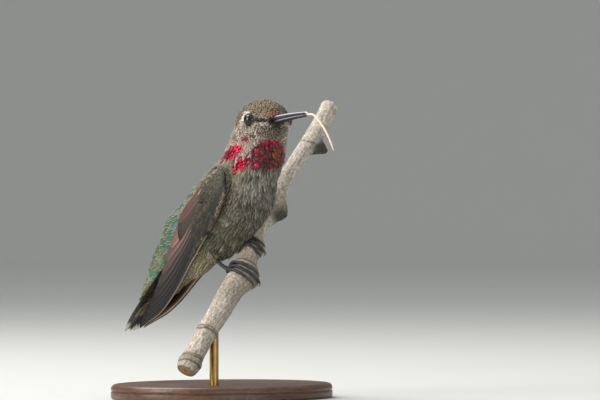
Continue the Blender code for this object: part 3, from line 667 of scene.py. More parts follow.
def node_of(tree, kind, inputs, output=0, **settings):
    """A new node with these settings, and its inputs fed. Gives one of its outputs."""
    node = tree.nodes.new(kind)
    for key, value in settings.items():
        setattr(node, key, value)
    for socket, value in inputs.items():
        feed(tree, node.inputs[socket], value)
    return node.outputs[output]


def sum_of(tree, operation, *terms):
    """A Math node; each of its terms is a number or another node's output."""
    return node_of(tree, "ShaderNodeMath", dict(enumerate(terms)), operation=operation)


def step_of(tree, value, low, high):
    """A soft step from 0 to 1 as value goes from low to high."""
    ends = {"Value": value, "From Min": low, "From Max": high}
    return node_of(tree, "ShaderNodeMapRange", ends, interpolation_type="SMOOTHSTEP")


def attribute_of(tree, name, output="Fac"):
    return node_of(tree, "ShaderNodeAttribute", {}, output, attribute_name=name)


def vane_pattern():
    tree = bpy.data.node_groups.new("Vane pattern", "ShaderNodeTree")
    for way, words in (("INPUT", ("Fringe", "Barbs")), ("OUTPUT", ("Edge", "Shaft", "Barb"))):
        for word in words:
            tree.interface.new_socket(word, in_out=way, socket_type="NodeSocketFloat")
    given, made = tree.nodes.new("NodeGroupInput").outputs, tree.nodes.new("NodeGroupOutput").inputs

    def maths(*terms):
        return sum_of(tree, *terms)

    vane = attribute_of(tree, "vane", "Vector")
    across, along = (node_of(tree, "ShaderNodeSeparateXYZ", {0: vane}, axis) for axis in "XY")
    across = maths("ABSOLUTE", across)
    rim = maths("MAXIMUM", across, maths("MULTIPLY_ADD", along, 1.0, maths("MULTIPLY", across, 0.16)))
    slant = maths("MULTIPLY_ADD", across, 0.55, maths("MULTIPLY", along, -1.0))
    wave = maths("SINE", maths("MULTIPLY", slant, given["Barbs"]))
    feed(tree, made["Edge"], step_of(tree, rim, maths("SUBTRACT", 1.0, given["Fringe"]), 1.02))
    feed(tree, made["Shaft"], maths("SUBTRACT", 1.0, step_of(tree, across, 0.03, 0.13)))
    feed(tree, made["Barb"], maths("MULTIPLY_ADD", wave, 0.5, 0.5))
    return tree


VANE_PATTERN = vane_pattern()


# %% Materials that read each feather's own colours
def mixed(tree, factor, a, b, blend="MIX"):
    return node_of(tree, "ShaderNodeMix", {0: factor, 6: a, 7: b}, 2, data_type="RGBA", blend_type=blend)


def texture_of(tree, place=None, kind="Noise", output="Fac", **inputs):
    """A texture over the object's own place, or over another one."""
    place = place or node_of(tree, "ShaderNodeTexCoord", {}, "Object")
    return node_of(tree, f"ShaderNodeTex{kind}", {"Vector": place, **inputs}, output)


def finished(made, colour, height, strength, distance):
    """Gives a new material its colour, and a bump that follows height."""
    finish, tree, shader = made
    normal = node_of(tree, "ShaderNodeBump", {"Strength": strength, "Distance": distance, "Height": height})
    feed(tree, shader.inputs["Base Color"], colour)
    feed(tree, shader.inputs["Normal"], normal)
    return finish


def feather_finish(name, fringe, barbs, roughness, gloss=0.35, vary=0.5, barb_shade=0.12, shaft=0.0):
    """A feather: vane colour, fringe colour, a random lightness of its own, barbs, and a metal gleam where told."""
    made = _, tree, shader = new_finish(name, roughness, Specular_IOR_Level=gloss)
    pattern = tree.nodes.new("ShaderNodeGroup")
    pattern.node_tree = VANE_PATTERN
    pattern.inputs["Fringe"].default_value, pattern.inputs["Barbs"].default_value = fringe, barbs
    edge, shaft_line, barbs_seen = pattern.outputs
    colour = mixed(tree, edge, attribute_of(tree, "tint", "Color"), attribute_of(tree, "fringe", "Color"))
    if shaft:
        colour = mixed(tree, sum_of(tree, "MULTIPLY", shaft_line, shaft), colour, srgb(30, 27, 25))
    light = sum_of(tree, "MULTIPLY_ADD", attribute_of(tree, "pick"), vary, 1 - vary / 2)
    barb = sum_of(tree, "MULTIPLY_ADD", barbs_seen, -barb_shade, 1.0 + barb_shade / 2)
    shade = {0: colour, "Scale": sum_of(tree, "MULTIPLY", light, barb)}
    gleam = attribute_of(tree, "gleam")
    feed(tree, shader.inputs["Metallic"], gleam)
    feed(tree, shader.inputs["Roughness"], sum_of(tree, "MULTIPLY_ADD", gleam, -0.35, roughness))
    return finished(made, node_of(tree, "ShaderNodeVectorMath", shade, operation="SCALE"), barbs_seen, 0.25, 0.00004)


def skin_finish():
    """The skin under the feathers: the same markings with down, darkened as painted shade for the gaps between them.
    """
    made = _, tree, _ = new_finish("skin_under_feathers", 0.9, Specular_IOR_Level=0.1)
    down, own = texture_of(tree, Scale=2400.0, Detail=4.0), attribute_of(tree, "tint", "Color")
    # painted shade: the skin's own colour is multiplied darker for the shaded gaps between feathers
    dark = mixed(tree, 1.0, own, srgb(150, 148, 142), "MULTIPLY")
    return finished(made, mixed(tree, down, dark, own), down, 0.6, 0.0001)


# %% [markdown]
# The skin now becomes one object. Its flat map is the rings unrolled: one way is from tail to forehead, the other
# is round the body. The last column of faces needs corners of its own on that map, or it would run back over it.

# %% The skin as an object
def fractions_along(grid):
    """How far along its length each row of a grid lies, from 0 to 1."""
    steps = np.linalg.norm(np.diff(grid, axis=0), axis=-1).mean(1)
    return np.concatenate([[0], np.cumsum(steps)]) / steps.sum()


def lay_flat(mesh, name, corner_of):
    """Adds a flat map; corner_of gives the map's place for a face, as a list with one pair for each corner."""
    layer = mesh.uv_layers.new(name=name)
    places = np.zeros((len(mesh.loops), 2), np.float32)
    for face in mesh.polygons:
        places[face.loop_start : face.loop_start + face.loop_total] = corner_of(face)
    layer.data.foreach_set("uv", places.ravel())


RING_FRACTION = fractions_along(skin)
vane, fringe, gleam = plumage(skin, share_grid, dorsal_grid)
tints = np.vstack([vane.reshape(-1, 3), vane[0].mean(0), vane[-1].mean(0)])
body_mesh = mesh_of("bird_skin", skin_points, skin_faces, tint=rgba(tints))


def skin_corners(face):
    places = []
    for v in face.vertices:
        row, column = divmod(v, AROUND)
        if v >= ROWS * AROUND:
            places.append([1.0 if v > ROWS * AROUND else 0.0, None])
        else:
            places.append([RING_FRACTION[row], column / AROUND])
    rounds = [p[1] for p in places if p[1] is not None]
    if max(rounds) - min(rounds) > 0.5:
        places = [[a, b + 1 if b is not None and b < 0.5 else b] for a, b in places]
        rounds = [p[1] for p in places if p[1] is not None]
    middle = sum(rounds) / len(rounds)
    return [[0.02 + 0.96 * a, 0.01 + 0.98 * min(1.0, middle if b is None else b)] for a, b in places]


lay_flat(body_mesh, "OFBake", skin_corners)
bird_skin = object_of(body_mesh, skin_finish())
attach(bird_skin, "root")
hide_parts("head", "neck", "trunk", "rump")
print("skin:", len(skin_faces), "faces")


# %% [markdown]
# ## Small feathers
# A contour feather is a thin closed vane: flat, rounded or frayed at its end, and bent down a little along and
# across, so that it hugs the body. A few shapes of length 1 serve as patterns. Rows and columns of the vane are
# few, because thousands of them are laid.

# %% Patterns of one feather
def closed_vane(top, bottom):
    """Joins two grids of points along their rim. Gives points, faces, and each point's row and lane."""
    rows, lanes = top.shape[:2]
    where = [(i, k) for i in range(rows) for k in range(lanes)]
    points, under = list(top.reshape(-1, 3)), []
    for i, k in list(where):
        rim = i in (0, rows - 1) or k in (0, lanes - 1)
        under.append(i * lanes + k if rim else len(points))
        if not rim:
            points.append(bottom[i, k])
            where.append((i, k))
    faces = grid_faces(rows, lanes)
    faces += [[under[v] for v in reversed(face)] for face in faces]
    return np.array(points), faces, np.array(where)


FEATHER_ROWS = (0.0, 0.42, 0.72, 0.9, 1.0)
DROOP = 0.10  # how far a feather's tip bends down, as a share of its length


def one_feather(name, camber, fray, rounding, seed, lanes=4, thick=0.010):
    """A closed vane of length and width 1 that points along +Y and faces +Z."""
    rng = np.random.default_rng(seed)
    across = np.linspace(-1, 1, lanes + 1)
    top = np.zeros((len(FEATHER_ROWS), lanes + 1, 3))
    for i, row in enumerate(FEATHER_ROWS):
        half = 0.5 * (0.35 + 0.65 * math.sin(math.pi * min(0.5, 0.12 + 0.55 * row)))
        at_tip = row == 1.0
        for k, u in enumerate(across):
            reach = row * (1 - rounding * u * u)
            if at_tip:
                reach += fray * (rng.uniform(-1.0, 0.35) if k % 2 else rng.uniform(-0.1, 0.5))
            x = u * half * (1 - 0.18 * at_tip) + 0.5 * fray * rng.uniform(-0.3, 0.3) * at_tip
            top[i, k] = x, reach, -DROOP * reach * reach - camber * u * u
    bottom = top - np.array((0, 0, thick))
    top[1:-1, 1:-1, 2] += thick
    points, faces, where = closed_vane(top, bottom)
    marks = np.stack([across[where[:, 1]], np.array(FEATHER_ROWS)[where[:, 0]], np.zeros(len(points))], -1)
    return object_of(mesh_of(name, points / MM, faces, vane=marks))


def pattern_set(name, count, **shape):
    """A collection of a few feathers of one kind, each a little different."""
    collection = bpy.data.collections.new(name)
    bpy.context.scene.collection.children.link(collection)
    for k in range(count):
        obj = one_feather(f"{name}_{k}", seed=10 * k + len(name), **shape)
        bpy.context.scene.collection.objects.unlink(obj)
        collection.objects.link(obj)
    return collection


# %% [markdown]
# Geometry Nodes set a feather on every root. A root is a point with two directions, off the skin and along the
# lie of the coat, and the colours of its place. The tree turns a pattern that way, tips its end up, sways it at
# random, makes the copies real, and lays each one on the flat map as a small patch at its root's place.

# %% The Geometry Nodes tree that lays feathers
def feather_tree():
    tree = bpy.data.node_groups.new("Lay feathers", "GeometryNodeTree")
    kinds = {"Roots": "Geometry", "Patterns": "Collection", "Finish": "Material", "Seed": "Int"}
    for word in ("Roots", "Patterns", "Finish", "Length", "Width", "Tilt", "Sway", "Seed"):
        tree.interface.new_socket(word, in_out="INPUT", socket_type="NodeSocket" + kinds.get(word, "Float"))
    tree.interface.new_socket("Coat", in_out="OUTPUT", socket_type="NodeSocketGeometry")
    given = tree.nodes.new("NodeGroupInput").outputs

    def node(kind, inputs, output=0, **settings):
        return node_of(tree, kind, inputs, output, **settings)

    def times(a, b):
        return sum_of(tree, "MULTIPLY", a, b)

    def named(name, kind="FLOAT_VECTOR"):
        return node("GeometryNodeInputNamedAttribute", {"Name": name}, data_type=kind)

    def chance(low, high, shift, kind="FLOAT"):
        """A random number for each root; each use has a shift of its own."""
        first, second, output = {"FLOAT": (2, 3, 1), "INT": (4, 5, 2)}[kind]
        seed = sum_of(tree, "ADD", given["Seed"], float(shift))
        return node("FunctionNodeRandomValue", {first: low, second: high, "Seed": seed}, output, data_type=kind)

    axes = {"Primary Axis": named("rise"), "Secondary Axis": named("lie")}
    axes = node("FunctionNodeAxesToRotation", axes, primary_axis="Z", secondary_axis="Y")
    turn = {
        "X": times(given["Tilt"], chance(0.7, 1.3, 1)), "Y": times(given["Sway"], chance(-1.0, 1.0, 3)),
        "Z": times(given["Sway"], chance(-1.0, 1.0, 2)),
    }
    euler = node("FunctionNodeEulerToRotation", {"Euler": node("ShaderNodeCombineXYZ", turn)})
    turned = node("FunctionNodeRotateRotation", {"Rotation": axes, "Rotate By": euler}, rotation_space="LOCAL")
    size = times(named("size", "FLOAT"), chance(0.85, 1.15, 4))
    width, length = times(size, given["Width"]), times(size, given["Length"])
    patterns = {"Collection": given["Patterns"], "Separate Children": True, "Reset Children": True}
    laid = {
        "Points": given["Roots"], "Instance": node("GeometryNodeCollectionInfo", patterns), "Pick Instance": True,
        "Instance Index": chance(0, 9, 5, "INT"), "Rotation": turned,
        "Scale": node("ShaderNodeCombineXYZ", {"X": width, "Y": length, "Z": length}),
    }
    coat = node("GeometryNodeInstanceOnPoints", laid)
    pick = {"Geometry": coat, "Name": "pick", "Value": chance(0.0, 1.0, 6)}
    coat = node("GeometryNodeStoreNamedAttribute", pick, data_type="FLOAT", domain="INSTANCE")
    coat = node("GeometryNodeRealizeInstances", {"Geometry": coat})
    spread = node("ShaderNodeVectorMath", {0: named("vane"), 1: (0.0015, 0.003, 0.0)}, operation="MULTIPLY")
    spot = node("ShaderNodeVectorMath", {0: spread, 1: named("patch")}, operation="ADD")
    flat = {"Geometry": coat, "Name": "OFBake", "Value": spot}
    coat = node("GeometryNodeStoreNamedAttribute", flat, data_type="FLOAT2", domain="CORNER")
    for name in ("rise", "lie", "size", "patch"):
        coat = node("GeometryNodeRemoveAttribute", {"Geometry": coat, "Name": name})
    coat = node("GeometryNodeSetMaterial", {"Geometry": coat, "Material": given["Finish"]})
    tree.links.new(coat, tree.nodes.new("NodeGroupOutput").inputs[0])
    return tree


FEATHER_TREE = feather_tree()


def roots_of(place, rising, lie, size, vane, fringe, patch, gleam=0.0):
    """What each root carries: its place, two directions, size, colours, gleam and place on the flat map."""
    return {
        "place": place, "rise": rising, "lie": lie, "size": size, "tint": rgba(vane), "fringe": rgba(fringe),
        "gleam": gleam + np.zeros(len(place)), "patch": np.stack([*patch, np.zeros(len(place))], -1),
    }


def lay_feathers(name, roots, patterns, finish, length, width, tilt, sway, seed):
    """Feathers on roots, as one plain mesh. roots is a dictionary of arrays, one row for each root."""
    extra = {key: value for key, value in roots.items() if key != "place"}
    source = object_of(mesh_of(name + "_roots", roots["place"], [], outward=False, **extra))
    modifier = source.modifiers.new("feathers", "NODES")
    modifier.node_group = FEATHER_TREE
    values = {
        "Patterns": patterns, "Finish": finish, "Length": length * MM, "Width": width * MM, "Tilt": tilt, "Sway": sway,
        "Seed": seed,
    }
    for item in FEATHER_TREE.interface.items_tree:
        if item.item_type == "SOCKET" and item.in_out == "INPUT" and item.name in values:
            modifier[item.identifier] = values[item.name]
    mesh = bpy.data.meshes.new_from_object(source.evaluated_get(bpy.context.evaluated_depsgraph_get()))
    mesh.name = name
    bpy.data.objects.remove(source)
    mesh.shade_smooth()
    coat = object_of(mesh)
    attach(coat, "root")
    triangles = sum(len(face.vertices) - 2 for face in mesh.polygons)
    print(f"{name}: {len(roots['place'])} feathers, {triangles} triangles, maps {[m.name for m in mesh.uv_layers]}")
    return coat


# %% [markdown]
# ## Roots
# Feathers grow in rows. For each tract, rows are set at an even distance along the rings, and roots at an even
# distance round each row, every second row shifted by half a step, with a little unevenness. Where rings lie
# closer together, as on the nape, the feathers are smaller. Each feather lies along the rings, away from the
# bill, and turns aside round the eye.

# %% Where the eyes are
EYE_RADIUS, EYE_DEPTH = 1.75, 1.15


def turned_about(facing):
    """Two directions square to facing: level and forward, and up."""
    level = unit(np.cross(facing, (0, 0, 1)))
    level = level * np.sign(dot(level, HEAD_AXES[:, 0]))
    return level, unit(np.array((0, 0, 1)) - facing * facing[2])


def eye_middle(out):
    surface = cast(HEAD, HEAD_AXES @ unit(np.array((3.55, 5.3 * out, -0.18))))
    return surface - outward_of(surface) * EYE_DEPTH, outward_of(surface)


EYES = {"right": eye_middle(-1), "left": eye_middle(1)}
BILL_BASE = in_head(6.6, 0.0, -0.95)
for side, (middle, facing) in EYES.items():
    print(side, "eye at", np.round(middle, 2), "facing", np.round(facing, 2))


# %% Rows of roots over the rings
def on_rings(grid, row, column):
    """The value of a grid between its rows and columns; columns run round."""
    i = np.clip(np.floor(row).astype(int), 0, ROWS - 2)
    f = (row - i)[..., None]
    k = np.floor(column).astype(int)
    g = (column - k)[..., None]
    a, b = k % AROUND, (k + 1) % AROUND
    return (grid[i, a] * (1 - g) + grid[i, b] * g) * (1 - f) + (grid[i + 1, a] * (1 - g) + grid[i + 1, b] * g) * f


STEP = np.linalg.norm(np.diff(skin, axis=0), axis=-1)  # from each ring to the next, at each angle
SIDEWAYS = np.stack([share_grid, dorsal_grid], -1)
LAST_ROW = ROWS - 1.001


def ahead_of(row, column):
    """The way from one ring to the next at a place, which is also how far apart the rings are there."""
    return on_rings(skin, np.minimum(row + 0.5, LAST_ROW), column) - on_rings(skin, np.maximum(row - 0.5, 0), column)


UNEVEN = 0.16  # how far a root strays, as a share of the spacing


def rows_of_roots(seed, belongs, along, across, length):
    """Roots as (row, column) pairs over the part of the rings where belongs(places, share, dorsal) is true."""
    rng = np.random.default_rng(seed)
    inside = belongs(skin, share_grid, dorsal_grid)
    for _ in range(12):  # the roots of feathers that show here lie a little further up the rings
        inside[1:] |= inside[:-1]
    step = np.where(inside[1:], STEP, np.nan)
    counted = np.isfinite(step).any(1)
    mean = np.where(counted, np.nansum(step, 1) / np.maximum(1, np.isfinite(step).sum(1)), 0.0)
    reached = np.concatenate([[0], np.cumsum(mean)])
    reached += np.arange(ROWS) * 1e-9
    found = []
    for n, place in enumerate(np.arange(along * rng.uniform(0.2, 0.8), reached[-1], along)):
        row = float(np.interp(place, reached, np.arange(ROWS)))
        ring = on_rings(skin, np.full(AROUND + 1, row), np.arange(AROUND + 1.0))
        round_it = np.concatenate([[0], np.cumsum(np.linalg.norm(np.diff(ring, axis=0), axis=-1))])
        count = max(3, round(round_it[-1] / across))
        spots = (np.arange(count) + 0.5 * (n % 2) + 0.25) * round_it[-1] / count
        spots = (spots + across * rng.uniform(-UNEVEN, UNEVEN, count)) % round_it[-1]
        column = np.interp(spots, round_it, np.arange(AROUND + 1.0))
        step_here = max(0.05, mean[max(0, int(row) - 1)])
        found.append(np.stack([row + rng.uniform(-UNEVEN, UNEVEN, count) * along / step_here, column], -1))
    found = np.concatenate(found)
    found[:, 0] = np.clip(found[:, 0], 0, LAST_ROW)
    keep = np.zeros(len(found), bool)
    for reach in (0.45, 0.75):  # tracts overlap a little, so that no skin shows between them
        apart = np.maximum(np.linalg.norm(ahead_of(found[:, 0], found[:, 1]), axis=-1), 1e-3)
        shows = np.clip(found[:, 0] - reach * length / apart, 0, LAST_ROW)
        where = on_rings(SIDEWAYS, shows, found[:, 1])
        keep |= belongs(on_rings(skin, shows, found[:, 1]), where[:, 0], where[:, 1])
    return found[keep]


NEAR_EYE, BARK_GAP = 5.0, 0.62  # how far the eye turns feathers aside, and how near the bark none grow
SEEN_AT = 0.72  # how far along a feather the place lies whose colours it takes


def roots_at(found, length):
    """The roots at places on the rings, for feathers of one length."""
    row, column = found[:, 0], found[:, 1]
    place = on_rings(skin, row, column)
    where = on_rings(SIDEWAYS, row, column)
    rising = unit(on_rings(rise, row, column))
    ahead = ahead_of(row, column)
    lie = unit(-ahead)
    spacing = np.linalg.norm(ahead, axis=-1)
    local_mean = np.interp(row, np.arange(ROWS - 1) + 0.5, STEP.mean(1))
    size = np.clip(spacing / np.maximum(local_mean, 1e-3), 0.7, 1.35) ** 0.7
    size = size * (1 + 0.9 * ease(0.26, 0.12, where[:, 0]) * ease(-0.5, -0.9, where[:, 1]))  # long under the tail
    near_bill = np.exp(-((np.linalg.norm(place - BILL_BASE, axis=-1) / 5.2) ** 4))[:, None]
    lie = unit(lie * (1 - near_bill) + unit(place - BILL_BASE) * near_bill)
    keep = row > 3.0  # none on the blunt end, which the tail hides
    for middle, facing in EYES.values():
        off = place - middle
        off = off - (off @ facing)[:, None] * facing
        reach = np.hypot(off @ turned_about(facing)[0] / 0.82, off @ turned_about(facing)[1])
        way = unit(off)
        here = np.linalg.norm(place - middle, axis=-1) < NEAR_EYE
        close = here[:, None] * ease(3.6, 2.0, reach)[:, None]
        lie = unit(lie - way * np.minimum(0, dot(lie, way))[:, None] * 1.25 * close)
        tip = off + lie * (length * size)[:, None]
        tip = tip - (tip @ facing)[:, None] * facing
        nearest = np.minimum(np.linalg.norm(tip, axis=-1), np.linalg.norm(off + 0.5 * (tip - off), axis=-1))
        size = np.where(here & (nearest < 1.25), size * 0.6, size)
        keep &= ~(here & (reach < 1.28))
    lie = square_to(lie, rising)
    along_it = 0.8 * length * size  # in a hollow of the body, feathers lift so that they clear what comes next
    following = on_rings(skin, np.clip(row - along_it / np.maximum(spacing, 1e-3), 0, LAST_ROW), column)
    hollow = np.clip(dot(following - place, rising) / along_it, 0, 0.6)[:, None] * (row * spacing > along_it)[:, None]
    lie, rising = unit(lie + rising * hollow), unit(rising - lie * hollow)
    gap, _ = over_branch(place)
    keep &= gap > BARK_GAP
    base = head_local(place)
    keep &= ~((base[:, 0] > 5.2) & (np.hypot(base[:, 1] / 1.1, (base[:, 2] + 0.95) / 1.05) < 1.0))
    shows = np.clip(row - SEEN_AT * length * size / np.maximum(spacing, 1e-3), 0, LAST_ROW)
    there = on_rings(SIDEWAYS, shows, column)
    drawn = place + lie * (SEEN_AT * length * size)[:, None]
    vane, fringe, gleam = plumage(drawn, there[:, 0], there[:, 1])
    patch = 0.02 + 0.96 * np.interp(row, np.arange(ROWS), RING_FRACTION), 0.01 + 0.98 * column / AROUND
    roots = roots_of(place - rising * 0.12, rising, lie, size, vane, fringe, patch, gleam)
    return {key: value[keep] for key, value in roots.items()}


# %% The tracts
def on_head(points, share):
    local = head_local(points)
    return (share > 0.93) & (local[..., 2] + 0.25 * local[..., 0] > -6.6)


def is_gorget(points, share, dorsal):
    return gorget_of(points) > -0.35


def is_crown(points, share, dorsal):
    local = head_local(points)
    return on_head(points, share) & (local[..., 2] > -0.2 - 0.1 * local[..., 0]) & ~is_gorget(points, share, dorsal)


def is_face(points, share, dorsal):
    return on_head(points, share) & ~is_crown(points, share, dorsal) & ~is_gorget(points, share, dorsal)


def is_body(points, share):
    return ~on_head(points, share) & (gorget_of(points) <= 0.05)


def is_back(points, share, dorsal):
    return is_body(points, share) & (dorsal > 0.05)


def underside(low, high):
    """A test for the part of the underside between two places on the spine."""
    return lambda points, share, dorsal: is_body(points, share) & (dorsal <= 0.05) & (share > low) & (share <= high)


SCALES = pattern_set("scale", 3, camber=0.09, fray=0.04, rounding=0.34)
WISPS = pattern_set("wisp", 5, camber=0.06, fray=0.30, lanes=6, rounding=0.36, thick=0.006)

CROWN_FINISH = feather_finish("crown_feathers", 0.20, 90, 0.70, vary=0.4)
FACE_FINISH = feather_finish("face_feathers", 0.22, 90, 0.75, vary=0.45)
GORGET_FINISH = feather_finish("throat_feathers", 0.10, 80, 0.44, gloss=0.6, vary=0.75, barb_shade=0.10)
BREAST_FINISH = feather_finish("breast_feathers", 0.24, 100, 0.85, gloss=0.2, vary=0.30, barb_shade=0.10)
BACK_FINISH = feather_finish("back_feathers", 0.14, 90, 0.58, gloss=0.45, vary=0.45)

TRACTS = [  # name, test, row spacing, spacing round, patterns, finish, length, width, tilt, sway, slot
    ("coat_crown", is_crown, 0.46, 0.50, SCALES, CROWN_FINISH, 1.40, 0.86, 0.27, 0.10, "crown_plumage"),
    ("coat_face", is_face, 0.66, 0.64, SCALES, FACE_FINISH, 1.80, 1.04, 0.24, 0.16, "crown_plumage"),
    ("coat_gorget", is_gorget, 0.80, 0.82, SCALES, GORGET_FINISH, 2.05, 1.38, 0.24, 0.08, "throat_plumage"),
    ("coat_breast", underside(0.5, 9), 0.62, 0.50, WISPS, BREAST_FINISH, 3.2, 0.72, 0.21, 0.20, "breast_plumage"),
    ("coat_belly", underside(0.3, 0.5), 0.70, 0.54, WISPS, BREAST_FINISH, 3.7, 0.76, 0.19, 0.22, "breast_plumage"),
    ("coat_vent", underside(-1, 0.3), 0.66, 0.54, WISPS, BREAST_FINISH, 3.8, 0.72, 0.18, 0.22, "breast_plumage"),
    ("coat_back", is_back, 0.96, 1.00, SCALES, BACK_FINISH, 3.0, 1.60, 0.22, 0.09, "rump_plumage"),
]
for number, (name, test, along, across, patterns, finish, length, width, tilt, sway, slot) in enumerate(TRACTS):
    roots = roots_at(rows_of_roots(100 + number, test, along, across, length), length)
    coat = lay_feathers(name, roots, patterns, finish, length, width, tilt, sway, 11 * number + 3)




# %% [markdown]
# ## Flight feathers
# A flight feather is a closed blade: a shaft with a narrow vane in front and a broad one behind. In the folded
# wing each feather lies on the next one further out, so mostly front vanes show, as fine parallel lines that run
# together at the tip. All blades of one wing lie on a curved sheet that follows the flank.

# %% Closed blades, bundled into one mesh with a flat map
def bundle(name, vanes, *finishes):
    """One object from many blades. Each blade has top, bottom, u, and colours on its grid."""
    points, faces, spots, lower = [], [], [], []
    gathered = {key: [] for key in ("tint", "fringe", "gleam", "pick", "vane")}
    for n, blade in enumerate(vanes):
        p, f, where = closed_vane(blade["top"], blade["bottom"])
        rows, lanes = blade["top"].shape[:2]
        first = sum(len(x) for x in points)
        i, k = where[:, 0], where[:, 1]
        beneath = np.arange(len(p)) >= rows * lanes
        for key in ("tint", "fringe"):
            gathered[key].append(rgba(np.where(beneath[:, None], blade["under"][i, k], blade[key][i, k])))
        gathered["gleam"].append(np.where(beneath, 0.0, blade["gleam"][i, k]))
        gathered["pick"].append(np.full(len(p), blade["pick"]))
        gathered["vane"].append(np.stack([blade["u"][i, k], i / (rows - 1), np.where(beneath, -1.0, 1.0)], -1))
        spots.append(np.stack([(n + 0.04 + 0.92 * k / (lanes - 1)) / len(vanes), i / (rows - 1)], -1))
        faces += [[first + v for v in face] for face in f]
        lower += [j >= len(f) // 2 for j in range(len(f))]
        points.append(p)
    spots = np.concatenate(spots)
    data = {key: np.concatenate(value) for key, value in gathered.items()}
    mesh = mesh_of(name, np.concatenate(points), faces, **data)
    lay_flat(
        mesh, "OFBake",
        lambda face: [[spots[v, 0], 0.01 + 0.48 * spots[v, 1] + 0.5 * lower[face.index]] for v in face.vertices],
    )
    obj = object_of(mesh, *finishes)
    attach(obj, "root")
    print(f"{name}: {len(vanes)} blades, {len(faces)} faces")
    return obj


# %% The sheet that a folded wing lies on
WING_ROWS = np.array(
    [  # bend to tip: the back edge and the front edge, each as forward, out and up from BODY
        ((1.4, 6.2, 6.2), (4.7, 7.0, 3.3)), ((-2.0, 6.1, 3.4), (4.2, 7.4, -0.9)),
        ((-4.6, 6.4, 0.1), (1.9, 7.2, -5.2)), ((-7.9, 6.4, -3.8), (-1.4, 6.6, -9.3)),
        ((-10.9, 6.2, -7.3), (-4.8, 5.8, -12.4)), ((-13.5, 5.8, -11.1), (-8.1, 4.8, -15.8)),
        ((-16.1, 5.3, -15.2), (-11.4, 3.9, -19.2)), ((-18.5, 4.7, -19.9), (-14.9, 3.1, -23.1)),
        ((-21.2, 4.0, -24.4), (-18.3, 2.4, -27.0)), ((-24.4, 3.0, -28.5), (-22.2, 1.6, -30.5)),
        ((-27.1, 1.9, -31.5), (-25.9, 1.0, -32.5)), ((-29.8, 0.75, -34.0), (-29.2, 0.5, -34.4)),
    ]
)
WING_ROOM, SOFT = 0.3, 0.4


def flank(x, z, resting):
    """How far out the wing's inner face lies: where it would rest, or just outside a wider body."""
    across = np.linspace(0, 12, 49)
    column = np.stack(np.broadcast_arrays(BODY[0] + x[..., None], across, BODY[2] + z[..., None]), -1)
    inside = depth_of(column) <= 0
    last = 48 - np.argmax(inside[..., ::-1], -1)
    low = across[last]
    high = low + 0.25
    for _ in range(9):
        middle = (low + high) / 2
        within = depth_of(np.stack([BODY[0] + x, middle, BODY[2] + z], -1)) <= 0
        low, high = np.where(within, middle, low), np.where(within, high, middle)
    wide = SOFT * np.logaddexp(resting / SOFT, (high + WING_ROOM) / SOFT)
    return np.where(inside.any(-1), wide, resting)


SHEET_ROWS, SHEET_LANES, SHEET_RIM = 80, 31, 0.12  # steps along and across, and how far the sheet passes its edges


def wing_sheet(side):
    along = np.linspace(0, 1, SHEET_ROWS + 1)
    across = np.linspace(-SHEET_RIM, 1 + SHEET_RIM, SHEET_LANES + 1)
    along, across = np.meshgrid(along, across, indexing="ij")
    if side > 0:
        across = across * (1 - 0.15 * ease(0.0, 0.15, along) * (1 - ease(0.3, 0.5, along)))
    back, front = curve(WING_ROWS[:, 0], along), curve(WING_ROWS[:, 1], along)
    spot = back + (front - back) * across[..., None]
    out = flank(spot[..., 0], spot[..., 2], spot[..., 1])
    return BODY + np.stack([spot[..., 0], side * out, spot[..., 2]], -1)


SHEETS = {-1: wing_sheet(-1), 1: wing_sheet(1)}


def on_wing(side, along, across, lift=0.0):
    """Places on a folded wing; lift is how far out they lie from its inner face."""
    along, across, lift = np.broadcast_arrays(*(np.asarray(v, float) for v in (along, across, lift)))
    i = np.clip(along, 0, 1) * SHEET_ROWS
    k = (np.clip(across, -SHEET_RIM, 1 + SHEET_RIM) + SHEET_RIM) / (1 + 2 * SHEET_RIM) * SHEET_LANES
    a, b = np.minimum(i.astype(int), SHEET_ROWS - 1), np.minimum(k.astype(int), SHEET_LANES - 1)
    f, g = (i - a)[..., None], (k - b)[..., None]
    here, ahead = (SHEETS[side][row, b] * (1 - g) + SHEETS[side][row, b + 1] * g for row in (a, a + 1))
    flat = here * (1 - f) + ahead * f
    return flat + np.stack([0 * lift, side * lift, 0 * lift], -1)


def wing_width(along):
    return np.linalg.norm(curve(WING_ROWS[:, 1], along) - curve(WING_ROWS[:, 0], along), axis=-1)


# %% One flight feather on the sheet
LANES = np.array([-1.0, -0.75, -0.5, -0.25, -0.1, 0.0, 0.15, 0.4, 0.7, 1.0])


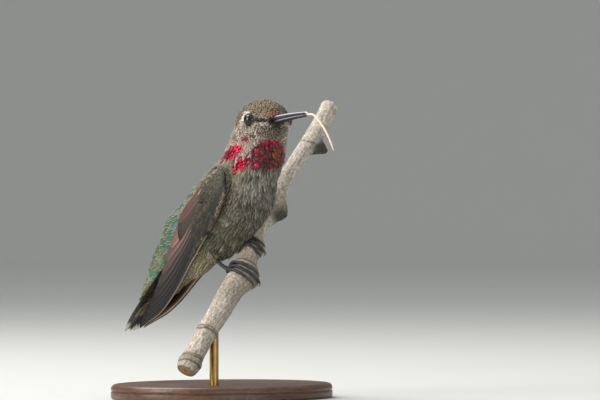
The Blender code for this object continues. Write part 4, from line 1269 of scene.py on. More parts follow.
def flight_feather(side, along, across, inner, outer, lift, colours, pick, rows=30, blunt=3.2, edge=0.45):
    """A blade that runs from along[0] to along[1] on the wing's sheet and through four values of across."""
    s = np.linspace(0, 1, rows)[:, None]
    down = along[0] + (along[1] - along[0]) * s
    lane = curve(np.array(across)[:, None], s[:, 0])
    base = 0.4 + 0.6 * ease(0, 0.2, s)
    hind = inner * base * np.clip(1 - s**blunt, 0, 1) ** 0.62
    fore = outer * base * np.clip(1 - s**7, 0, 1) ** 0.8
    place = lane + LANES * np.where(LANES < 0, hind, fore) / wing_width(down)
    u = np.broadcast_to(LANES, place.shape)
    down = np.broadcast_to(down, place.shape)
    height = lift + 0.05 * (1 - u**2) + 0.06 * np.exp(-((u / 0.13) ** 2)) * (1 - 0.6 * s)
    top, bottom = on_wing(side, down, place, height), on_wing(side, down, place, lift - 0.02 * (1 - u**2))
    vane, fringe, under, hind_vane = (srgb(*c) for c in colours)
    tint = toward(toward(vane, hind_vane, ease(-0.05, -0.4, u)), fringe, ease(edge, edge + 0.35, u))
    tint = toward(tint, srgb(22, 20, 20), 0.8 * np.exp(-(((u - 0.05) / 0.12) ** 2)))
    # painted light: the buff stripe beside the shaft and the pale rim on the underside are pushed near white, partly
    # their own colour and partly light shining through the feather
    under = toward(under, srgb(252, 226, 206), ease(-0.27, -0.20, u) * ease(0.12, 0.03, u))
    under = toward(under, srgb(246, 224, 200), ease(0.72, 0.95, u))
    blade = {"top": top, "bottom": bottom, "u": u, "gleam": 0 * u, "pick": pick}
    return {**blade, "tint": tint, "fringe": tint, "under": under}


PRIMARIES = [  # tip along; across at a third of the way, two thirds, and the tip; hind and front vane in millimetres
    (0.520, 0.20, 0.20, 0.10, 2.0, 1.35), (0.590, 0.33, 0.32, 0.10, 2.2, 1.05),
    (0.655, 0.46, 0.42, 0.10, 2.4, 0.80), (0.720, 0.56, 0.50, 0.11, 2.5, 0.72),
    (0.780, 0.65, 0.58, 0.12, 2.7, 0.68), (0.835, 0.73, 0.66, 0.15, 2.9, 0.64),
    (0.885, 0.80, 0.74, 0.20, 3.1, 0.60), (0.930, 0.87, 0.82, 0.30, 3.2, 0.58),
    (0.968, 0.92, 0.89, 0.45, 3.3, 0.56), (0.996, 0.965, 0.94, 0.72, 3.4, 0.60),
]
# Painted light: the pale rosy tops of the inner four stand for sheen on dark brown feathers, and the undersides are
# lighter than their own colour to make up for the shade they lie in.
PRIMARY_TONES = [  # front vane, its edge, underside, hind vane
    ((134, 100, 92), (164, 134, 122), (130, 112, 100), (100, 76, 70)),
    ((112, 84, 78), (152, 124, 114), (130, 112, 100), (84, 64, 60)),
    ((92, 71, 66), (144, 119, 109), (130, 112, 100), (72, 57, 54)),
    ((62, 51, 48), (132, 112, 104), (130, 112, 100), (52, 43, 42)),
    ((37, 32, 32), (122, 106, 99), (130, 112, 100), (33, 30, 30)),
    ((30, 28, 29), (114, 101, 96), (124, 106, 94), (27, 25, 26)),
    ((28, 27, 29), (108, 98, 95), (116, 98, 86), (25, 24, 26)),
    ((26, 26, 29), (104, 96, 94), (104, 86, 76), (24, 23, 25)),
    ((25, 25, 29), (100, 94, 92), (86, 68, 60), (22, 22, 25)),
    ((25, 25, 29), (214, 200, 178), (84, 64, 54), (22, 22, 25)),
]


def primaries(side, rng):
    vanes = []
    for k in range(9, -1, -1):
        tip, third, two_thirds, end, hind, fore = PRIMARIES[k]
        across = (0.34 + 0.62 * k / 9, third, two_thirds, end)
        lift = 0.05 * (9 - k) + 0.02
        start, pick = 0.10 + 0.012 * k, rng.uniform(0.4, 0.6)
        vanes.append(flight_feather(side, (start, tip), across, hind, fore, lift, PRIMARY_TONES[k], pick, edge=0.55))
    return vanes


# %% Secondaries, with the broad brown one over them
SECONDARIES = [  # tip along, its across, front vane, colours
    (0.452, 0.33, 0.50, ((48, 43, 41), (112, 98, 90), (84, 76, 72), (44, 39, 38))),
    (0.448, 0.28, 0.50, ((50, 44, 42), (116, 101, 92), (84, 76, 72), (46, 40, 39))),
    (0.440, 0.23, 0.55, ((52, 45, 42), (118, 102, 92), (84, 76, 72), (48, 41, 39))),
    (0.430, 0.18, 0.60, ((50, 42, 39), (120, 101, 90), (84, 76, 72), (46, 39, 37))),
    (0.415, 0.12, 0.80, ((52, 42, 38), (126, 103, 91), (84, 76, 72), (50, 40, 37))),
    (0.385, 0.055, 0.95, ((92, 64, 56), (126, 98, 84), (84, 76, 72), (78, 55, 48))),
]


def secondaries(side, rng):
    vanes = []
    for k, (tip, end, fore, tones) in enumerate(SECONDARIES):
        across = (0.60 - 0.09 * k, 0.42 - 0.055 * k, 0.36 - 0.055 * k, end)
        start, lift, pick = 0.05 + 0.004 * k, 0.56 + 0.06 * k, rng.uniform(0.4, 0.6)
        vanes.append(flight_feather(side, (start, tip), across, 1.5, fore, lift, tones, pick, 20, 7.0, 0.6))
    return vanes


FLIGHT_FINISH = feather_finish("flight_feathers", 0.10, 520, 0.5, gloss=0.4, vary=0.25, barb_shade=0.10)
SIDES = {"right": -1, "left": 1}
for word, side in SIDES.items():
    rng = np.random.default_rng(40 + side)
    long_feathers = bundle(f"wing_{word}_long", primaries(side, rng), FLIGHT_FINISH)
    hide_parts(f"wing_{word}_primaries")
    short_feathers = bundle(f"wing_{word}_short", secondaries(side, rng), FLIGHT_FINISH)
    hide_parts(f"wing_{word}_secondaries")


# %% [markdown]
# The arm and hand of the wing are a flat cushion on the flight feathers. Coverts grow over it in rows like roof
# tiles: tiny ones at the bend, longer ones towards the flight feathers, and a row with buff tips down the front
# edge.

# %% The wing's arm and its coverts
ARM_END = 0.37
ARM_FLOOR, ARM_TOP, COVERT_FLOOR = 0.30, 0.33, 0.36  # heights over the wing's inner face


def arm_end(across):
    """Where the cushion ends: far back at the front edge, early at the rear."""
    return 0.20 + (ARM_END - 0.20) * ease(0.1, 0.75, across) - 0.05 * ease(0.85, 1.0, across)


def round_bend(along):
    """How much of its width and thickness the arm has at the bend, where its outline is a half circle."""
    return np.sqrt(1 - (1 - np.clip(along / 0.075, 0.02, 1)) ** 2)


def arm_height(along, across):
    """How thick the cushion is: most near the bend, thin at its rear and at its edges."""
    edge = np.clip(1 - np.abs(2 * across - 1.0) ** 3, 0, 1) ** 0.5
    thick = 0.26 + (0.74 * (1 - ease(0.05, ARM_END + 0.05, along)) + 0.12) * edge * ease(0.50, 0.36, along)
    return thick * (0.25 + 0.75 * round_bend(along))


def wing_colours(along, across, rng):
    """Covert and fringe colours on the wing, with a painted bluish-grey sheen on some coverts."""
    rough = rng.uniform(-1, 1, len(along))
    # painted sheen: a bluish-grey cast on coverts at random stands for light on their gloss
    vane, fringe = toward(srgb(37, 35, 32), srgb(58, 62, 64), 0.4 * ease(0.3, 1.0, rough)), srgb(74, 68, 57)
    middle = ease(0.80, 0.50, across) * ease(0.02, 0.10, along)
    vane, fringe = toward(vane, srgb(46, 41, 35), middle), toward(fringe, srgb(90, 79, 65), middle)
    vane = toward(vane, srgb(84, 74, 62), 0.6 * middle * ease(0.1, 0.8, -rough))
    bend = ease(0.17, 0.07, along) * ease(0.86, 0.70, across)
    vane, fringe = toward(vane, srgb(66, 67, 55), 0.7 * bend), toward(fringe, srgb(128, 124, 102), 0.7 * bend)
    front = ease(0.93, 0.96, across) * ease(0.03, 0.08, along)
    vane, fringe = toward(vane, srgb(64, 60, 56), front), toward(fringe, srgb(186, 156, 116), front)
    return vane, fringe


def wing_roots(side, spots, size, rng):
    """Roots for feathers on the wing, at (along, across) spots."""
    along, across = spots[:, 0], spots[:, 1]
    step = 0.004
    places = []
    for a, b in ((along, across), (along + step, across), (along, across + step)):
        places.append(on_wing(side, a, b, COVERT_FLOOR + arm_height(a, b)))
    place, way, wide = places[0], places[1] - places[0], places[2] - places[0]
    rising = unit(np.cross(way, wide))
    rising = rising * np.sign(rising[:, 1:2] * side)
    vane, fringe = wing_colours(along, across, rng)
    patch = 0.03 + 0.94 * along / 0.5, 0.03 + 0.94 * np.clip(across, 0, 1)
    return roots_of(place - rising * 0.05, rising, unit(way), size, vane, fringe, patch, 0.05)


COVERT_ROWS = [  # how far from the cushion's end a row starts and stops (along), spacing, spacing across, size
    (0.055, 0.085, 0.026, 0.95, 3.4),
    (0.105, 0.150, 0.022, 0.86, 2.5),
    (0.165, 0.215, 0.018, 0.76, 1.9),
    (0.225, 0.384, 0.0135, 0.66, 1.4),
]
COVERT_FINISH = feather_finish("wing_coverts", 0.20, 90, 0.62, vary=0.4, shaft=0.3)
for word, side in SIDES.items():
    rng = np.random.default_rng(60 + side)
    spots, sizes = [], []
    for low, high, step, gap, size in COVERT_ROWS:
        for n, back in enumerate(np.arange(low, high + 1e-6, step)):
            lanes = np.arange(0.3 * (n % 2) * gap, 7.6, gap) / 7.6
            along = arm_end(lanes) - back + rng.uniform(-0.003, 0.003, len(lanes))
            good = (along > 0.001) & (lanes < 0.94)
            spots += list(np.stack([along, lanes], -1)[good])
            sizes += [size] * int(good.sum())
    rim = np.radians(np.arange(-76, 77, 12))
    spots += list(np.stack([0.075 * (1 - 0.985 * np.cos(rim)), 0.5 + 0.47 * np.sin(rim)], -1))
    sizes += [1.15] * len(rim)
    edge = np.arange(0.004, 0.46, 0.0125)
    for shift, inward in ((0.0, 0.0), (0.006, 0.045)):
        spots += list(np.stack([edge + shift, 0.985 - inward - 0.035 * ease(0.3, 0.46, edge)], -1))
        sizes += list(1.55 - 0.6 * ease(0.25, 0.46, edge))
    spots, sizes = np.array(spots), np.array(sizes)
    shown = np.abs(spots[:, 1] - 0.5) < 0.5 * round_bend(spots[:, 0] + 0.006)
    roots = wing_roots(side, spots[shown], sizes[shown], rng)
    coverts = lay_feathers(f"coat_wing_{word}", roots, SCALES, COVERT_FINISH, 1.0, 0.66, 0.10, 0.06, 71)
    share, across = np.meshgrid(np.linspace(0, 1, 34) ** 1.3, np.linspace(0, 1, 17), indexing="ij")
    along = share * arm_end(across)
    across = 0.5 + (across - 0.5) * round_bend(along)
    height = ARM_TOP + arm_height(along, across) * np.clip(1 - share**9, 0.02, 1)
    vane, fringe = wing_colours(along.ravel(), across.ravel(), rng)
    # painted shade: the cushion takes the coverts' colours darkened, as it only shows in the shaded gaps between them
    dark = vane.reshape(*along.shape, 3) * 0.6
    arm = {
        "top": on_wing(side, along, across, height), "bottom": on_wing(side, along, across, ARM_FLOOR),
        "u": 2 * across - 1, "tint": dark, "fringe": dark, "under": dark, "gleam": 0 * along, "pick": 0.5,
    }
    cushion = bundle(f"wing_{word}_arm", [arm], COVERT_FINISH)
    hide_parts(f"wing_{word}_coverts")


# %% [markdown]
# ## The tail
# Ten feathers, folded into a narrow fan, the middle pair on top. The middle ones are green, the outer ones black
# with white tips.

# %% Tail feathers
TAIL_ROOT, TAIL_TIP = BODY + (-16.2, 0.0, -14.4), BODY + (-33.6, 0.0, -35.1)
TAIL_DOWN, TAIL_LENGTH = unit(TAIL_TIP - TAIL_ROOT), float(np.linalg.norm(TAIL_TIP - TAIL_ROOT))
TAIL_ABOVE = np.array((TAIL_DOWN[2], 0, -TAIL_DOWN[0]))


def tail_feather(rank, side, rng):
    s = np.linspace(0, 1, 26)[:, None]
    end = 1.0 - 0.008 * abs(rank - 2.5) ** 1.5
    along = 0.03 + (end - 0.03) * s
    out = (rank - 0.5) / 4.5
    spread = 1.5 + 2.3 * np.sin(math.pi * np.minimum(0.92, 0.12 + along * 0.62)) - 0.9 * along**4
    half = (0.9 + 1.5 * np.sin(math.pi * (0.10 + 0.66 * along))) * (1 - 0.12 * out) * 0.93
    round_end = np.clip(1 - s**16, 0.02, 1) ** 0.5 * (1 - 0.12 * ease(0.7, 1, s))
    u = np.broadcast_to(LANES, (len(s), len(LANES)))
    across = spread * out + u * np.where(u < 0, 1.0, 0.75) * half * round_end
    reach = along - 0.035 * u**2 * ease(0.75, 1, s)
    across = side * across
    arch = -0.035 * across**2
    height = 0.30 - 0.155 * (rank - 1) + arch
    ridge = 0.05 * (1 - u**2) + 0.06 * np.exp(-((u / 0.13) ** 2)) * (1 - 0.6 * s)
    flat = TAIL_ROOT + TAIL_DOWN * (reach * TAIL_LENGTH)[..., None] + np.array((0, 1, 0)) * across[..., None]
    top = flat + TAIL_ABOVE * (height + ridge)[..., None]
    bottom = flat + TAIL_ABOVE * (height - 0.03 * (1 - u**2))[..., None]
    green, black, white = srgb(66, 92, 70), srgb(31, 32, 34), srgb(240, 232, 218)
    green_share = {1: 1.0, 2: 0.55, 3: 0.25, 4: 0.12, 5: 0.2}[rank] * ease(1.0 if rank > 1 else 3.0, 0.35, s)
    tint = toward(black, green, np.broadcast_to(green_share, u.shape))
    tint = toward(tint, srgb(98, 88, 70), 0.8 * ease(0.3, 0.9, u) * (rank >= 4))
    white_from = {1: 3.0, 2: 3.0, 3: 0.965, 4: 0.945, 5: 0.925}[rank] - 0.015 * (1 - u**2)
    tip = ease(white_from, white_from + 0.012, s)
    tint = toward(tint, white, tip)
    under = toward(tint, srgb(92, 89, 70), 0.45 * ease(0.9, 0.6, s) * (1 - tip))
    fringe = toward(tint, srgb(132, 124, 100), np.full(u.shape, 0.45))
    gleam = np.broadcast_to(0.5 * green_share, u.shape)
    blade = {"top": top, "bottom": bottom, "u": u, "gleam": gleam, "pick": rng.uniform(0.4, 0.6)}
    return {**blade, "tint": tint, "fringe": fringe, "under": toward(under, srgb(84, 80, 78), 0.2 * (1 - tip))}


rng = np.random.default_rng(9)
blades = [tail_feather(rank, side, rng) for rank in range(5, 0, -1) for side in (-1, 1)]
tail = bundle("tail_feathers", blades, FLIGHT_FINISH)
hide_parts("tail")


# %% [markdown]
# ## Scapulars and tufts
# Where the wing meets the back, a strip of long brown shoulder feathers with buff edges lies over its rear edge. Low
# on the belly, loose pale tufts hang round the legs.

# %% Shoulder feathers
for word, side in SIDES.items():
    rng = np.random.default_rng(80 + side)
    spots = []
    for lane, high in {0.16: 0.08, 0.09: 0.15, 0.02: 0.22, -0.05: 0.28, -0.11: 0.30}.items():
        along = np.arange(0.0, high, 0.020)
        strayed = along + rng.uniform(0, 0.008, len(along)), lane + rng.uniform(-0.012, 0.008, len(along))
        spots += list(np.stack(strayed, -1))
    spots = np.array(spots)
    spots = spots[np.abs(spots[:, 1] - 0.5) < 0.66 * round_bend(spots[:, 0] + 0.01)]
    roots = wing_roots(side, spots, rng.uniform(0.8, 1.15, len(spots)), rng)
    streak = ease(0.3, 0.9, rng.uniform(0, 1, len(spots)))
    roots["tint"] = rgba(toward(srgb(126, 112, 93), srgb(70, 62, 50), streak))
    roots["fringe"] = rgba(toward(srgb(184, 166, 142), srgb(150, 132, 108), streak))
    shoulder = lay_feathers(f"coat_shoulder_{word}", roots, SCALES, COVERT_FINISH, 3.0, 1.35, 0.06, 0.08, 91)


# %% Feathers over the bend of the wing
def bend_feathers(side, rng):
    """Feathers that grow on the shoulder just in front of the bend and lie back over it."""
    turn, step = np.meshgrid(np.linspace(-80, 80, 13), (0.5, -0.15, -0.8), indexing="ij")
    turn = np.radians(turn.ravel() + rng.uniform(-4, 4, turn.size))
    step = step.ravel() + rng.uniform(-0.1, 0.1, turn.size)
    middle, ahead = on_wing(side, 0.075, 0.5), on_wing(side, 0.0, 0.5)
    along_way, across_way = unit(middle - ahead), unit(on_wing(side, 0.03, 0.9) - on_wing(side, 0.03, 0.1))
    long_way, wide_way = np.linalg.norm(middle - ahead) + step, 0.5 * float(wing_width(0.03)) + step
    place = middle - along_way * (long_way * np.cos(turn))[:, None] + across_way * (wide_way * np.sin(turn))[:, None]
    facing = np.array((0.0, side, 0.0))
    lie = along_way + 0.50 * facing - 0.12 * across_way * np.sin(turn)[:, None]
    lie = unit(lie + rng.normal(0, 0.05, (len(turn), 3)))
    for _ in range(3):
        place = place - outward_of(place) * (depth_of(place) + 0.15)[:, None]
    rising = square_to(facing, lie)
    drawn = place + lie * 1.6
    vane, fringe, _ = plumage(drawn, np.full(len(turn), 0.88), np.where(np.sin(turn) < 0.2, 0.6, -0.3))
    size, patch = rng.uniform(0.85, 1.1, len(turn)), (0.5 + 0.4 * np.sin(turn), 0.5 + 0.2 * step)
    return roots_of(place, rising, lie, size, vane, fringe, patch)


for word, side in SIDES.items():
    roots = bend_feathers(side, np.random.default_rng(120 + side))
    bend = lay_feathers(f"coat_bend_{word}", roots, SCALES, COVERT_FINISH, 2.8, 1.4, 0.10, 0.10, 141)


# %% Tufts round the legs
LEG_TOPS = {"right": (-4.2, -2.9, -15.6), "left": (-1.8, 3.2, -12.6)}
FEET = {"right": 0.8, "left": 9.2}
for word in FEET:
    rng = np.random.default_rng(len(word))
    hip = BODY + np.array(LEG_TOPS[word])
    ankle = branch_place(FEET[word], 14.0, 0.95)
    down = unit(ankle - hip)
    level = unit(np.cross(down, (0, 0, 1)))
    above = np.cross(level, down)
    count = 90
    turn, share = rng.uniform(0, 2 * math.pi, count), rng.uniform(0, 1, count)
    radial = level * np.cos(turn)[:, None] + above * np.sin(turn)[:, None]
    place = hip - down * (1.3 - 1.6 * share)[:, None] + radial * (0.45 + 0.8 * (1 - share))[:, None]
    low = np.array((-0.55, 0.0, -1.0))
    lie = unit(down + low * 0.5 + radial * 0.25 + rng.normal(0, 0.15, (count, 3)))
    rising = square_to(radial, lie)
    gap, _ = over_branch(place + lie * 2.6)
    pale = rng.uniform(0, 1, count)
    vane = toward(srgb(84, 80, 62), srgb(146, 140, 114), pale**1.5)
    fringe, size = toward(vane, srgb(176, 168, 140), np.full(count, 0.4)), rng.uniform(0.7, 1.15, count)
    patch = 0.1 + 0.8 * share, 0.1 + 0.8 * turn / (2 * math.pi)
    tufts = roots_of(place, rising, lie, size, vane, fringe, patch)
    tufts = {key: value[gap > 0.15] for key, value in tufts.items()}
    puff = lay_feathers(f"coat_leg_{word}", tufts, WISPS, BREAST_FINISH, 2.2, 0.55, 0.16, 0.3, 97)


# %% [markdown]
# ## Eyes
# A hummingbird's eye is nearly black: a dark brown iris round a wide pupil, under one clear shining cornea. The
# ball lies deep, and a rim of bare grey skin holds it. The feathers begin outside that rim.

# %% Eyes and lids
def eye_finish():
    """Dark brown iris and black pupil by the distance from the front of the ball, under a clear coat."""
    coat = {"Coat Weight": 0.75, "Coat Roughness": 0.03}
    made = _, tree, shader = new_finish("eyeball", 0.25, Specular_IOR_Level=0.1, **coat)
    ring = attribute_of(tree, "ring")
    colour = mixed(tree, step_of(tree, ring, 0.40, 0.47), srgb(8, 8, 10), srgb(36, 26, 20))
    colour = mixed(tree, step_of(tree, ring, 0.78, 0.9), colour, srgb(14, 12, 12))
    feed(tree, shader.inputs["Base Color"], colour)
    return made[0]


def plain_finish(name, colour, roughness, scale, shade=0.35, bump=0.3, second=None, **settings):
    """One colour broken by fine soft noise, for horn, skin, wood and metal."""
    made = _, tree, _ = new_finish(name, roughness, **settings)
    noise = texture_of(tree, Scale=scale, Detail=5.0)
    dark = srgb(*(second or [c * (1 - shade) for c in colour]))
    mix = mixed(tree, step_of(tree, noise, 0.3, 0.7), dark, srgb(*colour))
    return finished(made, mix, noise, bump, 0.00005)


EYE_FINISH = eye_finish()
LID_FINISH = plain_finish("eyelid", (40, 38, 37), 0.7, 1800.0)
LID_PROFILE = [  # out from the middle of the opening, and height over the ball's middle
    (1.10, 1.10), (1.11, 1.36), (1.15, 1.44), (1.22, 1.46), (1.31, 1.40), (1.43, 1.18), (1.56, 0.84), (1.66, 0.45),
    (1.40, 0.55),
]
LID_STEPS = 48
EYE_POLAR = np.linspace(4, 176, 32)[:, None, None]  # degrees from the front of the ball
ROUND_EYE = np.linspace(0, 2 * math.pi, 41)[:-1, None]
RING_VALUE = np.repeat(EYE_POLAR.ravel() / 90, len(ROUND_EYE))
for word, (middle, facing) in EYES.items():
    level, above = turned_about(facing)
    radial = level * np.cos(ROUND_EYE) + above * np.sin(ROUND_EYE)
    ahead = EYE_RADIUS * np.cos(np.radians(EYE_POLAR)) + 0.10 * np.exp(-((EYE_POLAR / 38) ** 4))  # the cornea bulges
    rings = middle + facing * ahead + EYE_RADIUS * np.sin(np.radians(EYE_POLAR)) * radial
    points, faces = tube_of(rings, middle + facing * (EYE_RADIUS + 0.10), middle - facing * EYE_RADIUS)
    eye = object_of(mesh_of(f"eyeball_{word}", points, faces, ring=np.array([*RING_VALUE, 0.0, 2.0])), EYE_FINISH)
    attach(eye, "root")
    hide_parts(f"eye_{word}")
    rings = []
    for turn in np.linspace(0, 2 * math.pi, LID_STEPS + 1)[:-1]:
        way = level * math.cos(turn) + above * math.sin(turn)
        thin = 0.40 + 0.60 * abs(math.sin(turn)) ** 1.5
        crease = 0.015 * math.sin(26 * turn)
        for out, high in LID_PROFILE:
            rings.append(middle + way * (1.06 + (out - 1.08) * thin) + facing * (high + crease * (1.3 < high)))
    count = len(LID_PROFILE)
    faces, last = grid_faces(LID_STEPS, count, closed=True), (LID_STEPS - 1) * count
    faces += [[last + k, last + (k + 1) % count, (k + 1) % count, k] for k in range(count)]
    lid = object_of(mesh_of(f"eyelid_{word}", rings, faces), LID_FINISH)
    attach(lid, "root")


# %% [markdown]
# ## Bill and tongue
# The bill is a long black tube in two halves. The upper half overlaps the lower a little, has a soft ridge on top,
# and a groove on each side that starts at the nostril. Light on its ridge looks violet-grey. The tongue is a pale
# thread with a groove above and below, and it tapers to its tip.

# %% Bill
BILL_LENGTH = 18.0


def bill_half(along):
    slim = 1 - (1 - np.clip(along / BILL_LENGTH, 0, 1)) ** 1.2
    return (2.3 + (0.9 - 2.3) * slim) / 2, (2.1 + (1.0 - 2.1) * slim) / 2


def on_bill(along, across, up):
    """A place on the bill, which arches gently from its root to its tip."""
    along, across, up = np.broadcast_arrays(*(np.asarray(v, float) for v in (along, across, up)))
    arch = 0.2 * np.sin(math.pi * np.clip(along / BILL_LENGTH, 0, 1))
    return HEAD + np.stack([6.0 + along, across, -0.95 + arch + up], -1) @ HEAD_AXES.T


def bill_finish():
    """Black horn with painted highlights: violet-grey on the ridge and fainter on the lower half; darker where it
    meets the face.
    """
    made = _, tree, _ = new_finish("bill_horn", 0.34, Coat_Weight=0.25, Coat_Roughness=0.25)
    noise = texture_of(tree, Scale=1500.0)
    # painted highlight: the ridge mask mixes violet-grey into the black where light falls on the bill
    colour = mixed(tree, attribute_of(tree, "ridge"), srgb(28, 28, 31), srgb(206, 200, 222))
    colour = mixed(tree, attribute_of(tree, "root"), colour, srgb(26, 25, 26))
    colour = mixed(tree, sum_of(tree, "MULTIPLY", noise, 0.35), colour, srgb(22, 22, 24))
    return finished(made, colour, noise, 0.12, 0.00003)


BILL_FINISH = bill_finish()
for word, sign, share in (("upper", 1, 1.1), ("lower", -1, 0.9)):
    places = np.concatenate([[-1.2, -0.6], np.linspace(0, 17.2, 44), [17.6, 17.85, 17.97]])
    turns = np.radians(np.concatenate([np.linspace(0, 180, 25), np.linspace(180, 360, 9)[1:-1]]))
    rings, ridge, root = [], [], []
    for along in places:
        wide, deep = bill_half(along)
        point = 1 - ease(16.6, 18.05, along) ** 2 * 0.75
        wide, deep = wide * point, deep * share * point
        outer = turns <= math.pi + 1e-6
        across = np.where(outer, wide * np.cos(turns), -wide * (1 - 2 * (turns - math.pi) / math.pi))
        up = np.where(outer, deep * np.sin(turns), 0.0)
        up = up + np.where(outer, 0, 0.10 * deep * np.sin(2 * (turns - math.pi)) ** 2)
        facing_up = np.sin(turns) * outer
        groove = np.exp(-(((facing_up - 0.42) / 0.13) ** 2)) * ease(0.2, 2.0, along) * ease(16.5, 9.0, along) * outer
        nostril = np.exp(-(((along - 1.7) / 0.9) ** 2) - ((facing_up - 0.40) / 0.2) ** 2) * outer * (sign > 0)
        crest = 0.10 * wide * np.exp(-(((facing_up - 1) / 0.10) ** 2)) * outer
        shrink = 1 - (0.09 if sign > 0 else 0.05) * groove - 0.16 * nostril
        rings.append(on_bill(along, across * shrink, sign * (0.075 + up * shrink + crest)))
        # painted highlights: a pale band along the top of the upper half and a fainter line along the lower half
        shown = np.exp(-(((facing_up - 0.90) / 0.20) ** 2)) * outer * ease(0.5, 4.5, along) * (sign > 0)
        lower_half_highlight = 0.7 * np.exp(-(((facing_up - 0.16) / 0.13) ** 2)) * outer * (sign < 0)
        lower_half_highlight = lower_half_highlight * ease(2, 6, along) * ease(18, 14, along)
        ridge.append(shown + lower_half_highlight)
        root.append(0.7 * ease(1.6, -0.4, along) + 0 * turns)
    ridge, root = np.concatenate(ridge), np.concatenate(root)
    points, faces = tube_of(rings, rings[0].mean(0), on_bill(BILL_LENGTH, 0, sign * 0.12))
    extra = {"ridge": np.array([*ridge, 0, 0.3]), "root": np.array([*root, 1, 0])}
    half_bill = object_of(mesh_of(f"bill_{word}_half", points, faces, **extra), BILL_FINISH)
    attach(half_bill, "root")
    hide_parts(f"bill_{word}")


# %% Feathers over the bill's root
def bill_edge_feathers():
    """Small dark feathers that grow on the root of the bill and on the face round it, all pointing back."""
    rng = np.random.default_rng(31)
    back = -HEAD_AXES[:, 0]
    found = []  # place, off the skin, along the coat, size, colour, fringe
    for along in np.arange(0.05, 2.6, 0.27):
        for angle in np.arange(0, 360, 24) + rng.uniform(-6, 6, 15) + 12 * round(along / 0.27):
            lean, top = math.radians(angle), math.sin(math.radians(angle))
            if along > 0.25 + (1.75 * max(0, top) ** 2.2 if top > 0 else 2.2 * max(0, -top) ** 2.6):
                continue
            wide, deep = bill_half(along)
            out = HEAD_AXES @ np.array((0, math.cos(lean), top))
            spot, lie = on_bill(along, wide * math.cos(lean), (deep + 0.10) * top), back + 0.22 * out
            lie, size = unit(lie + rng.normal(0, 0.05, 3)), rng.uniform(0.55, 0.75)
            pale = np.array(0.15 + 0.75 * abs(top))
            vane = toward(srgb(30, 28, 26), srgb(56, 50, 42), pale)
            rim = toward(srgb(40, 37, 34), srgb(112, 101, 84), pale)
            found.append((spot, out, lie, size, vane, rim))
    start = in_head(2.0, 0.0, -0.95)
    pole = head_local(skin_points[-1])
    rings_of_spots = [((6.6, 0.0, -0.95), reach) for reach in np.arange(0.80, 2.9, 0.33)]
    rings_of_spots += [(pole, reach) for reach in np.arange(0.05, 1.7, 0.40)]
    for centre, reach in rings_of_spots:
        for angle in np.arange(0, 360, min(360, 360 * 0.42 / (2 * math.pi * reach))) + rng.uniform(0, 20):
            lean = math.radians(angle)
            aim = in_head(centre[0], centre[1] + reach * math.cos(lean), centre[2] + reach * math.sin(lean))
            spot = cast(start, unit(aim - start), -0.32)
            out = outward_of(spot)
            way = unit(spot - BILL_BASE)
            lie, size = square_to(way, out), rng.uniform(0.78, 1.0)
            vane, rim, _ = plumage((spot + 0.6 * lie)[None], np.array([1.1]), np.array([0.0]))
            found.append((spot - out * 0.04, out, lie, size, vane[0], rim[0]))
    place, rising, lie, size, vane, fringe = (np.array(column) for column in zip(*found))
    lie = square_to(lie, rising)
    local = head_local(place)
    patch = 0.5 + local[:, 1] / 7, 0.5 + local[:, 2] / 12
    return roots_of(place, rising, lie, size, vane, fringe, patch)


edge_feathers = lay_feathers("coat_bill_root", bill_edge_feathers(), SCALES, CROWN_FINISH, 1.3, 0.76, 0.29, 0.12, 131)


# %% Tongue
knots = [(-0.6, 0.0, 0.0), (2.6, 0.1, -0.5), (5.6, 0.4, -2.9), (8.2, 0.8, -6.2), (9.9, 1.1, -9.6)]
t = np.linspace(0, 1, 44)
path = curve([on_bill(BILL_LENGTH + f, s, u) for f, s, u in knots], t)
turn = 2 * math.pi * np.arange(18) / 18
groove = 1 - 0.34 * np.exp(-(((turn - math.pi / 2) / 0.42) ** 2))  # deep on top, shallow below
groove = groove - 0.16 * np.exp(-(((turn - 1.5 * math.pi) / 0.5) ** 2))
points, faces = tube_along(path, (0.29 - 0.05 * t - 0.14 * ease(0.86, 1.0, t))[:, None] * groove, 0.1, 0.12)
TONGUE_FINISH = plain_finish(
    "tongue_skin", (232, 216, 196), 0.38, 2500.0,
    second=(214, 188, 168), Subsurface_Weight=0.12, Subsurface_Scale=0.0003,
)
tongue = object_of(mesh_of("tongue_thread", points, faces), TONGUE_FINISH)
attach(tongue, "root")
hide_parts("tongue")


# %% [markdown]
# ## The perch
# The bark is a fine grid round the branch. It takes the branch's own form and adds what bark has: shallow furrows
# along it, ring scars, corky specks, and at each sawn end growth rings round the pith. Colour is worked out for
# every point of the grid with the form, so that hollows get painted shade and the ring scars are olive.

# %% Bark
def noise_over(along, angle, scale_along, scale_round, seed, waves=14):
    """Smooth noise from -1 to 1 over a branch, without a seam."""
    rng = np.random.default_rng(seed)
    total = np.zeros(np.broadcast(along, angle).shape)
    for _ in range(waves):
        turns = int(rng.integers(0, max(2, round(360 / scale_round))))
        way = rng.uniform(-1, 1) * 2 * math.pi / scale_along
        total = total + np.sin(along * way + np.radians(angle) * turns + rng.uniform(0, 6.28))
    return np.clip(total / (0.55 * waves**0.5 * 1.5), -1, 1)


def scar(along, place, half):
    return np.exp(-(((along - place) / half) ** 2))


